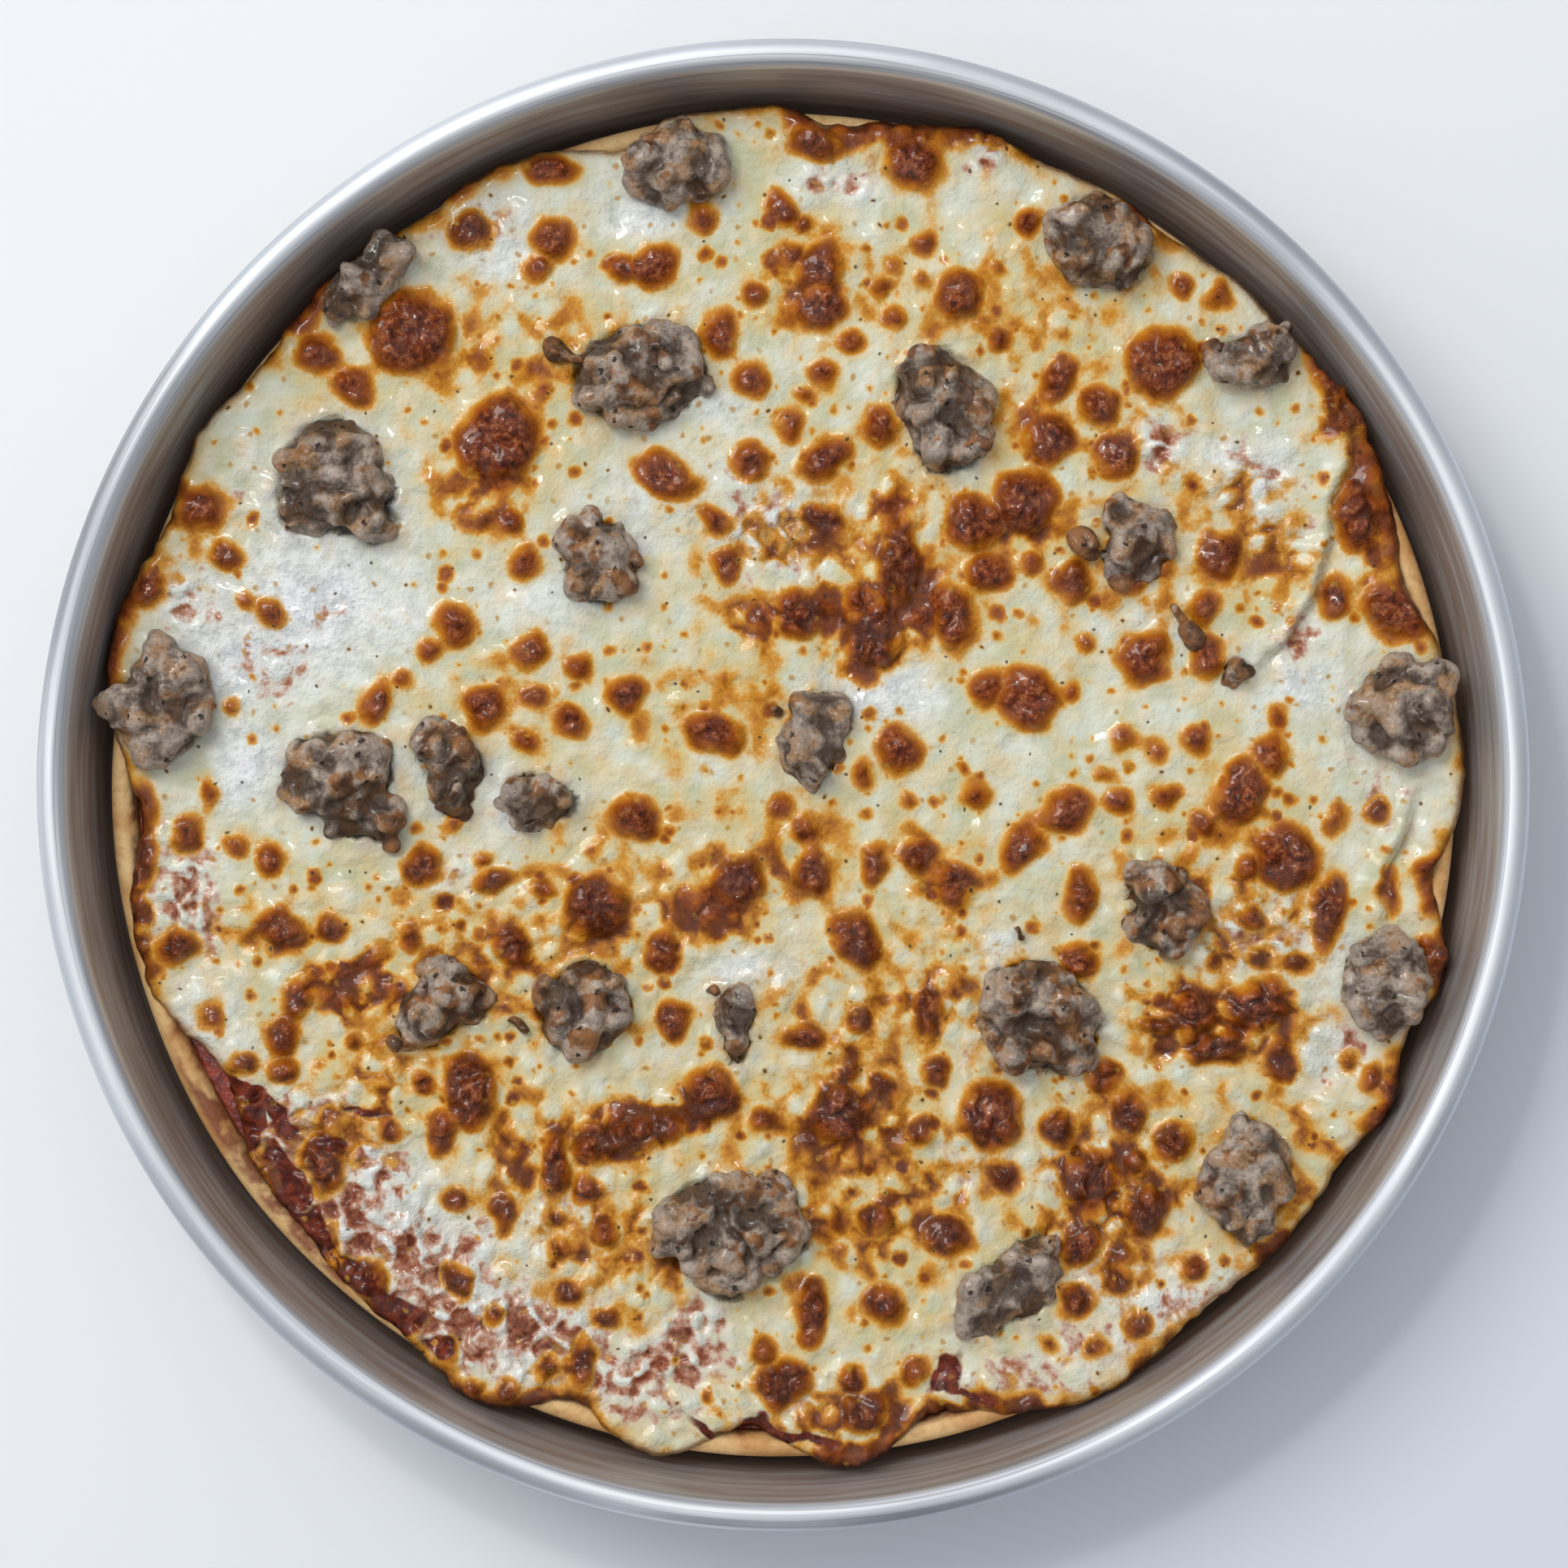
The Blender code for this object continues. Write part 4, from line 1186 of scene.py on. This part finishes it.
small = spots(7.0, 2.2, 0.40).above(spots(4.0, 1.3, 0.30)) * 1.8
small = small - 2.4 + (clouds - 0.5) * 6.0 - milk * 2.0 - thin * 2.0 - greasy + toast * 2.5
small = small.below(1.0)
rim = heat * inwards.rise(7.0, 0.5)
patchy = (islands - 0.5) * 9.0 + (curds - 0.5) * 5.0 + (lace - 0.5) * 6.0 + valley * 4.0 - 1.4
toasted = (toast + rim) * 5.8 - 3.3 + patchy * (toast + rim * 0.4)
brown = depth.above(small).above(toasted.below(1.0))
brown = brown + (curds - 0.5) * 3.2 + (islands - 0.5) * 2.6 + (grain - 0.5) * 1.0 - milk * 0.3
print("how brown:", len(finish.tree.nodes), "nodes so far")

# %% [markdown]
# The soft cheese varies in clouds between cream and a warmer ivory. Its curds are whiter on
# their tops and golden in the valleys between them. That is partly the cheese's own tone,
# partly painted light on the tops and partly painted shade in the valleys. Milky parts are
# bluish white, partly the cheese's own white and partly a painted sheen. Grease and painted
# shade make it greyer beside the lumps, and a golden haze lies round all that browned.

# %% Soft cheese
cream = finish.mix(clouds.rise(0.38, 0.62), paint(220, 224, 206), paint(202, 203, 170))
# whiter curd tops: the cheese's own white, partly a painted highlight
cream = finish.mix(curds.rise(0.48, 0.66) * 0.6, cream, paint(236, 240, 232))
# golden valleys between curds: the cheese's own tone, partly painted shade
cream = finish.mix(valley * 0.45, cream, paint(206, 176, 112))
# milky parts: bluish white, partly the cheese's own white and partly a painted sheen
milky = finish.mix(lace.rise(0.34, 0.60), paint(204, 208, 214), paint(246, 249, 250))
cream = finish.mix(milk * 0.85, cream, milky)
# grease and painted shade make the cheese greyer beside the lumps
cream = finish.mix(greasy * 0.55, cream, paint(166, 160, 162))
golden = brown.rise(-3.9, -2.1) * 0.50 + toast.rise(0.25, 0.80) * 0.40 * curds.rise(0.58, 0.42)
golden = golden - milk * 0.3 - thin * 0.4
cream = finish.mix(golden, cream, paint(224, 192, 118))
print("soft cheese:", len(finish.tree.nodes), "nodes so far")

# %% [markdown]
# Thin parts are marbled: the sauce's red brown shows between pale strands. Along the rim
# the cheese is baked to a light tan.

# %% Marbling and baked rim
marbled = thin * 2.3 - strand * 1.2 + (lace - 0.5) * 3.6 + (curds - 0.5) * 2.0
marbled = marbled + valley * 0.8 - 1.2
veins = finish.ramp(marbled + (grain - 0.5) * 1.0, -0.2, 2.0, (
    (-0.2, paint(222, 208, 196)), (0.3, paint(204, 172, 154)), (0.8, paint(178, 124, 96)),
    (1.3, paint(146, 78, 48)), (2.0, paint(98, 40, 22)),
))
cream = finish.mix(thin * strand * 0.7, cream, paint(238, 240, 240))
cream = finish.mix(marbled.rise(-0.5, 0.5), cream, veins)
baked_rim = heat * 0.6 * inwards.rise(7.0, 1.0) + inwards.rise(2.4, 0.3) * 0.55
cream = finish.mix(baked_rim, cream, paint(200, 142, 72))
print("marbling:", len(finish.tree.nodes), "nodes so far")

# %% [markdown]
# The browns run from a soft amber halo over an orange brown flank to the cap, which is
# mottled dark and pale; the pale mottling is partly a painted highlight. The valleys
# between browned curds are the darkest, a painted shade.

# %% Browned cheese
browned = finish.ramp(brown, -2.6, 3.6, (
    (-2.6, paint(228, 198, 126)), (-1.9, paint(222, 176, 86)), (-1.3, paint(212, 150, 52)),
    (-0.7, paint(198, 126, 32)), (-0.1, paint(182, 106, 22)), (0.6, paint(162, 84, 18)),
    (1.4, paint(144, 66, 14)), (2.4, paint(130, 56, 16)), (3.6, paint(124, 52, 20)),
))
colour = finish.mix(brown.rise(-2.5, -1.1), cream, browned)
cap = brown.rise(0.4, 2.2)
mottle = finish.noise(1.7, 3.0, 0.6)
# pale mottling on the caps: partly the cap's own colour, partly a painted highlight
colour = finish.mix(cap * mottle.rise(0.50, 0.64) * 0.60, colour, paint(192, 118, 68))
colour = finish.mix(cap * mottle.rise(0.48, 0.34) * 0.80, colour, paint(50, 18, 6))
# painted shade in the valleys between browned curds
colour = finish.mix(valley * brown.rise(-1.4, 0.4) * 0.75, colour, paint(66, 28, 10))
print("browned cheese:", len(finish.tree.nodes), "nodes so far")

# %% [markdown]
# A few strips are bare, so that the sauce shows. The folds have a faint shade at their
# foot, the rim is burnt in places, and specks of herb and pepper lie all over.

# %% Bare strips, burnt rim and specks
sauce_colour = finish.mix(lace.rise(0.40, 0.62), paint(78, 26, 14), paint(122, 48, 24))
uncovered = finish.value("bare") + (curds - 0.5) * 0.5
colour = finish.mix(uncovered.rise(0.24, 0.44), colour, sauce_colour)
colour = finish.mix(finish.value("fold") * 0.35, colour, paint(130, 100, 70))
burnt = heat * inwards.rise(3.2, 0.4) * curds.rise(0.42, 0.54)
colour = finish.mix(burnt * 0.9, colour, paint(70, 28, 14))
chance, speck = finish.cells(6.5, wobbly)
herb = speck.rise(0.14, 0.04) * finish.split(chance, "Y").rise(0.45, 0.75)
colour = finish.mix(herb * (0.8 - cap * 0.8), colour, paint(186, 136, 44))
pepper = speck.rise(0.065, 0.040) * finish.split(chance, "Z").rise(0.80, 0.83)
colour = finish.mix(pepper * 0.85, colour, paint(60, 42, 26))
print("specks:", len(finish.tree.nodes), "nodes so far")

# %% [markdown]
# Fat makes the cheese shine in patches, most where it is milky or thin. A coat gives the
# small glints, and two bumps give the fine relief that the mesh is too coarse for.

# %% Relief and shine
gloss = finish.value("gloss")
roughness = 0.50 - 0.14 * gloss
rough = grain * (0.25 + milk * 0.6 + depth.rise(0.4, 2.2) * 1.2 + thin * 0.4)
normal = finish.bump(lace, 0.7)
normal = finish.bump(rough, 0.6, normal)
wet = (0.10 + 0.60 * gloss + 0.4 * milk + 0.3 * thin + 0.1 * cap).below(0.95)
finish.wear(Specular_IOR_Level=0.10, Coat_Roughness=0.10)
melted = finish.wear(Base_Color=colour, Roughness=roughness, Normal=normal, Coat_Weight=wet)
dress(cheese, melted, "melted_cheese", "cheese")

# %% [markdown]
# ## Dough and sauce
#
# The dough's low lip shows as a tan ring wherever the cheese stops short, and a little
# dark sauce shows inside it and stains the lip's inner side, most at the lower left. Both
# are turned, like the pan, and then roughened.

# %% Dough
CRUST_BOTTOM = 1.8
BOWL_FLOOR = 14.0
DOUGH_WOBBLE = 0.5
INNER_RING = 70.0

dough_section = [(0.0, CRUST_BOTTOM), (INNER_RING, CRUST_BOTTOM)]
dough_section += [(CRUST_RADIUS - 2.7, CRUST_BOTTOM)]
dough_section += arc(CRUST_RADIUS - 2.7, CRUST_BOTTOM + 2.5, 2.5, 290, 360, 4)
dough_section += [(CRUST_RADIUS, 7.0), (CRUST_RADIUS, 11.0), (CRUST_RADIUS, 14.5)]
dough_section += arc(CRUST_RADIUS - 2.6, LIP_TOP - 2.6, 2.6, 0, 100, 9)
dough_section += [(SAUCE_RADIUS + 1.4, LIP_TOP - 0.9), (SAUCE_RADIUS + 0.4, LIP_TOP - 2.2)]
dough_section += [(SAUCE_RADIUS, BOWL_FLOOR + 1.0), (SAUCE_RADIUS - 0.5, BOWL_FLOOR)]
dough_section += [(INNER_RING, BOWL_FLOOR), (0.0, BOWL_FLOOR)]


def wander(piece):
    """Lets a turned piece's radius wander as the solid's does."""
    points = corners(piece)
    angle = np.arctan2(points[:, 1], points[:, 0])
    radius = np.hypot(points[:, 0], points[:, 1])
    moved = DOUGH_WOBBLE * np.array([
        noise.noise(Vector((3 * math.cos(turn), 3 * math.sin(turn), 7.0))) for turn in angle
    ])
    grown = np.where(radius > 1, 1 + moved / np.maximum(radius, 1), 1)
    points[:, 0] *= grown
    points[:, 1] *= grown
    return points


def baked_dough():
    finish = Finish("baked_dough")
    freckles = finish.noise(2.4, 4.0).rise(0.50, 0.70)
    patches = finish.noise(14.0, 3.0).rise(0.42, 0.66)
    colour = finish.mix(finish.noise(5.0, 3.0), paint(240, 206, 150), paint(226, 182, 118))
    colour = finish.mix(patches * 0.7, colour, paint(196, 134, 66))
    colour = finish.mix(freckles * 0.35, colour, paint(176, 112, 52))
    x = finish.split(finish.place, "X")
    y = finish.split(finish.place, "Y")
    radius = finish.add("ShaderNodeMath", {"operation": "SQRT"}, {0: x * x + y * y})
    lower_left = (x * -0.78 - y * 0.62).rise(0.133, 0.140)
    stain = (radius - lower_left * 0.0028).rise(0.1420, 0.1402)
    stain = stain * finish.noise(6.0, 3.0).rise(0.35, 0.55)
    colour = finish.mix(stain * 0.85, colour, paint(120, 48, 24))
    low = finish.split(finish.place, "Z").rise(0.0185, 0.0150)
    colour = finish.mix(low * 0.5, colour, paint(168, 112, 58))
    normal = finish.bump(finish.noise(1.2, 4.0), 0.25)
    return finish.wear(Base_Color=colour, Roughness=0.62, Normal=normal)


dough = turned("crust_baked", dough_section, 360)
points = wander(dough)
lifted = ease((points[:, 2] - LIP_TOP + 2.5) / 2.0)
points[:, 2] += lifted * 0.25 * ripple(points[:, 0], points[:, 1], 6.0, 21.0)
points[:, 2] += lifted * 0.12 * ripple(points[:, 0], points[:, 1], 2.2, 22.0)
set_corners(dough, points)
pick(dough)
bpy.ops.object.shade_smooth_by_angle(angle=math.radians(50))
dress(dough, baked_dough(), "baked_dough", "crust")

# %% Sauce
SAUCE_TOP = 16.5
GAP = 0.3
SAUCE_FLOOR = BOWL_FLOOR + GAP

sauce_section = [(0.0, SAUCE_FLOOR), (INNER_RING, SAUCE_FLOOR), (SAUCE_RADIUS - 0.6, SAUCE_FLOOR)]
sauce_section += [(SAUCE_RADIUS - 0.2, SAUCE_TOP - 0.5), (SAUCE_RADIUS - 1.0, SAUCE_TOP)]
sauce_section += [(SAUCE_RADIUS - 2.0 * k, SAUCE_TOP) for k in range(1, 7)]
sauce_section += [(INNER_RING, SAUCE_TOP), (0.0, SAUCE_TOP)]


def tomato_sauce():
    finish = Finish("tomato_sauce")
    pulp = finish.noise(2.5, 4.0).rise(0.38, 0.62)
    dark = finish.noise(1.2, 3.0).rise(0.55, 0.70)
    colour = finish.mix(pulp, paint(112, 30, 14), paint(150, 52, 24))
    colour = finish.mix(dark * 0.6, colour, paint(70, 20, 12))
    normal = finish.bump(finish.noise(1.5, 4.0), 0.6)
    return finish.wear(Base_Color=colour, Roughness=0.30, Normal=normal, Coat_Weight=0.3)


sauce = turned("sauce_cooked", sauce_section, 240)
points = wander(sauce)
radius = np.hypot(points[:, 0], points[:, 1])
outer = ease((radius - SAUCE_RADIUS + 14) / 3) * (points[:, 2] > SAUCE_TOP - 0.1)
points[:, 2] -= outer * 0.25 * (1 + ripple(points[:, 0], points[:, 1], 2.5, 24.0))
set_corners(sauce, points)
pick(sauce)
bpy.ops.object.shade_smooth_by_angle(angle=math.radians(50))
dress(sauce, tomato_sauce(), "tomato_sauce", "sauce")

# %% [markdown]
# ## Sausage
#
# Raw sausage is pinched off in lumps, and it cooks into soft knobs a few millimetres
# across, with deep creases between them. So each lump is built as it grew: balls of many
# sizes are set half into a copy of its solid, the whole is remeshed into one even skin,
# and the skin is smoothed, so that the balls run together, and roughened by noise.

# %% Balls on a solid
BALL_SHARE = 0.04


def surface_spots(points, faces, count, draw):
    """Random places on a solid's top and sides, in mm, and the outward directions there."""
    first, second, third = (points[faces[:, k]] for k in range(3))
    across = np.cross(second - first, third - first)
    area = np.linalg.norm(across, axis=1) / 2
    outwards = across / np.maximum(2 * area, 1e-9)[:, None]
    weight = area * (outwards[:, 2] > -0.2)
    spots = []
    for face in draw.choices(range(len(faces)), weight, k=count):
        one, two = sorted((draw.random(), draw.random()))
        spot = one * first[face] + (two - one) * second[face] + (1 - two) * third[face]
        spots.append((spot, outwards[face]))
    return spots


def balls_on(solid_points, faces, draw, smallest, largest):
    """Balls, each a centre and a radius in mm, set into the surface of a solid."""
    first, second, third = (solid_points[faces[:, k]] for k in range(3))
    area = np.linalg.norm(np.cross(second - first, third - first), axis=1).sum() / 2
    balls = []
    for spot, outwards in surface_spots(solid_points, faces, int(area * BALL_SHARE), draw):
        radius = smallest + (largest - smallest) * draw.random() ** 1.8
        balls.append((spot - outwards * radius * draw.uniform(0.15, 0.90), radius))
    return balls


def triangles(piece):
    """A piece's triangles, as rows of three point numbers."""
    piece.data.calc_loop_triangles()
    rows = np.empty(3 * len(piece.data.loop_triangles), np.int32)
    piece.data.loop_triangles.foreach_get("vertices", rows)
    return rows.reshape(-1, 3)


# %% [markdown]
# The skin is pushed in and out by noise. Its low places are stored as a crease shade, which
# the material paints as dark shade in the creases and as a pale highlight on the tops, and
# each ball is a knob with a number of its own, so that knobs can differ in colour.

# %% A crumbly skin
GRAIN = 0.58


def knobbly(piece, balls):
    """Joins a piece and its balls into one even, smooth skin."""
    parts = [piece]
    for centre, radius in balls:
        size, place = radius * MM, centre * MM
        bpy.ops.mesh.primitive_ico_sphere_add(subdivisions=2, radius=size, location=place)
        parts.append(bpy.context.object)
    pick(piece)
    for part in parts:
        part.select_set(True)
    bpy.ops.object.join()
    even = piece.modifiers.new("even", "REMESH")
    even.mode = "VOXEL"
    even.voxel_size = GRAIN * MM
    bpy.ops.object.modifier_apply(modifier=even.name)
    soft = piece.modifiers.new("soft", "SMOOTH")
    soft.factor = 0.5
    soft.iterations = 12
    bpy.ops.object.modifier_apply(modifier=soft.name)


def crumbly(piece, floor, draw, smallest=1.4, largest=4.2):
    """Turns a plain closed piece into a knobbly one, and stores its knobs and its crease shade."""
    balls = balls_on(corners(piece), triangles(piece), draw, smallest, largest)
    knobbly(piece, balls)
    points = corners(piece)
    normals = np.empty(3 * len(points), np.float32)
    piece.data.vertices.foreach_get("normal", normals)
    centres = np.array([centre for centre, _ in balls])
    radii = np.array([radius for _, radius in balls])
    gaps = np.linalg.norm(points[:, None, :] - centres[None, :, :], axis=2) - radii
    order = np.sort(gaps, axis=1)
    crease = ease(1 - (order[:, 1] - order[:, 0]) / 0.8) * ease((order[:, 0] + 0.1) / 0.5)
    cleft = ease(1 - abs(ripple_in(points, 9.0, 7.0)) / 0.22)
    lift = 2.6 * ripple_in(points, 7.0, 3.0) + 1.1 * ripple_in(points, 3.4, 4.0)
    lift += 0.10 * ripple_in(points, 1.3, 9.0) - 0.8 * cleft
    points = points + normals.reshape(-1, 3) * lift[:, None]
    points[:, 2] = np.maximum(points[:, 2], floor)
    set_corners(piece, points)
    low = np.clip(0.45 - lift / 2.4, 0, 1)
    store(piece, "crease", np.clip(low + 0.2 * crease, 0, 1))
    store(piece, "knob", np.array([draw.random() for _ in balls])[gaps.argmin(axis=1)])
    bpy.ops.object.shade_smooth()


# %% [markdown]
# The meat is grey brown and sandy, with a painted highlight on its tops and painted shade in
# its creases, browned knobs, small pits painted dark as shade in their hollows, and a wet
# shine in places.

# %% Sausage finish
def cooked_sausage():
    finish = Finish("cooked_sausage")
    crease = finish.value("crease")
    knob = finish.value("knob")
    browned = finish.value("browned")
    fibres = finish.noise(4.0, 3.0)
    sand = finish.noise(0.9, 3.0)
    colour = finish.mix(fibres.rise(0.36, 0.64), paint(103, 89, 77), paint(180, 162, 145))
    colour = finish.mix(finish.noise(6.0, 2.0).rise(0.48, 0.60) * 0.75, colour, paint(164, 118, 68))
    colour = finish.mix(sand.rise(0.52, 0.68) * 0.4, colour, paint(186, 174, 162))
    colour = finish.mix(sand.rise(0.46, 0.32) * 0.5, colour, paint(64, 50, 41))
    # painted highlight: the tops, away from the creases, are paler
    colour = finish.mix(crease.rise(0.40, 0.10) * 0.35, colour, paint(178, 164, 152))
    toasted = (knob * 0.7 + browned + finish.noise(3.8, 2.0) * 1.8).rise(1.60, 1.84)
    browning = finish.mix(fibres.rise(0.35, 0.65), paint(78, 44, 20), paint(150, 96, 46))
    colour = finish.mix(toasted * 0.9, colour, browning)
    # painted shade: dark brown in the creases
    colour = finish.mix(crease.rise(0.44, 0.92) * 0.80, colour, paint(56, 37, 24))
    wobbly = finish.shifted(1.2, 0.8)
    chance, away = finish.cells(4.2, wobbly, flat=False)
    # small pits: a shallow bump, painted near black as the shade in their hollows
    pits = away.rise(0.18, 0.10) * finish.split(chance, "X").rise(0.30, 0.35)
    colour = finish.mix(pits * 0.9, colour, paint(34, 20, 12))
    wet = finish.noise(3.0, 3.0).rise(0.54, 0.66)
    normal = finish.bump(fibres, 0.6)
    normal = finish.bump(sand, 0.35, normal)
    normal = finish.bump(1.0 - pits, 0.5, normal)
    finish.wear(Roughness=0.60, Specular_IOR_Level=0.25)
    return finish.wear(Base_Color=colour, Normal=normal, Coat_Weight=0.25 + 0.75 * wet)


meat = cooked_sausage()
print("sausage finish:", len(meat.node_tree.nodes), "nodes")

# %% [markdown]
# Every lump starts from a copy of its solid. Its draws start from its own name, so a
# change to one lump leaves the others as they are. Some lumps browned more than others.

# %% Lumps
BROWNED = {
    "sausage_03": 0.2, "sausage_05": 0.25, "sausage_07": 0.3, "sausage_08": 0.4,
    "sausage_09": 0.3, "sausage_10": 0.4, "sausage_11": 0.4, "sausage_12": 0.35,
    "sausage_13": 0.2, "sausage_15": 0.2, "sausage_16": 0.35, "sausage_17": 0.45,
    "sausage_20": 0.25, "sausage_21": 0.2, "sausage_22": 0.25, "sausage_23": 0.3,
    "sausage_25": 0.8,
}
for lump in lumps:
    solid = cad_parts[lump.name]
    piece = bpy.data.objects.new(lump.name.replace("sausage", "crumbly"), solid.data.copy())
    bpy.context.scene.collection.objects.link(piece)
    pick(piece)
    bpy.ops.object.mode_set(mode="EDIT")
    bpy.ops.mesh.select_all(action="SELECT")
    bpy.ops.mesh.remove_doubles(threshold=0.01 * MM)
    bpy.ops.object.mode_set(mode="OBJECT")
    crumbly(piece, lump.foot - 0.2, random.Random(lump.name))
    store(piece, "browned", np.full(len(piece.data.vertices), BROWNED.get(lump.name, 0.0)))
    dress(piece, meat, "cooked_sausage", lump.name)

# %% [markdown]
# Smaller bits broke off and lie beside the lumps, most of them well browned. Each is a
# ball that is squashed to its size and set into the cheese. They are joined and
# roughened as one piece.

# %% Small bits
CRUMBS = (
    (690, 435, 17, 15, 0, 5.0), (713, 447, 15, 14, 0, 4.6), (735, 460, 17, 14, 20, 5.0),
    (1165, 565, 15, 13, 0, 5.0), (1497, 433, 18, 17, 0, 6.0), (1338, 671, 14, 21, 35, 5.5),
    (1252, 1148, 8, 14, 30, 4.0), (1448, 755, 8, 15, 40, 3.0), (1466, 782, 7, 15, 40, 2.6),
    (1390, 708, 22, 15, 20, 4.0), (880, 1221, 12, 7, -10, 3.0), (484, 1283, 9, 9, 0, 4.0),
    (958, 876, 14, 9, -15, 3.0), (640, 1262, 22, 9, -20, 3.0),
)
bpy.ops.object.select_all(action="DESELECT")
bits = []
for across, down, wide, high, degrees, tall in CRUMBS:
    bpy.ops.mesh.primitive_ico_sphere_add(subdivisions=3, radius=MM)
    bit = bpy.context.object
    points = corners(bit) * (wide * FOOD_PIXEL, high * FOOD_PIXEL, tall / 2 + 1.0)
    turn = math.radians(degrees)
    place_x, place_y = from_photo(across, down)
    placed = np.column_stack([
        place_x + points[:, 0] * math.cos(turn) - points[:, 1] * math.sin(turn),
        place_y + points[:, 0] * math.sin(turn) + points[:, 1] * math.cos(turn),
        points[:, 2] + CHEESE_TOP + tall / 2 - 0.8,
    ])
    set_corners(bit, placed)
    bits.append(bit)
for bit in bits:
    bit.select_set(True)
bpy.ops.object.join()
crumbs = bpy.context.object
crumbs.name = "sausage_crumbs"
crumbly(crumbs, CHEESE_TOP - 1.2, random.Random(5), 0.8, 1.8)
store(crumbs, "browned", np.full(len(crumbs.data.vertices), 0.75))
dress(crumbs, meat, "cooked_sausage")

# %% [markdown]
# ## Finish
#
# The dressed pizza is meant to keep the solids' size. The last line prints the size of
# its box.

# %% Sizes
low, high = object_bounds()
print("visual size", high - low)
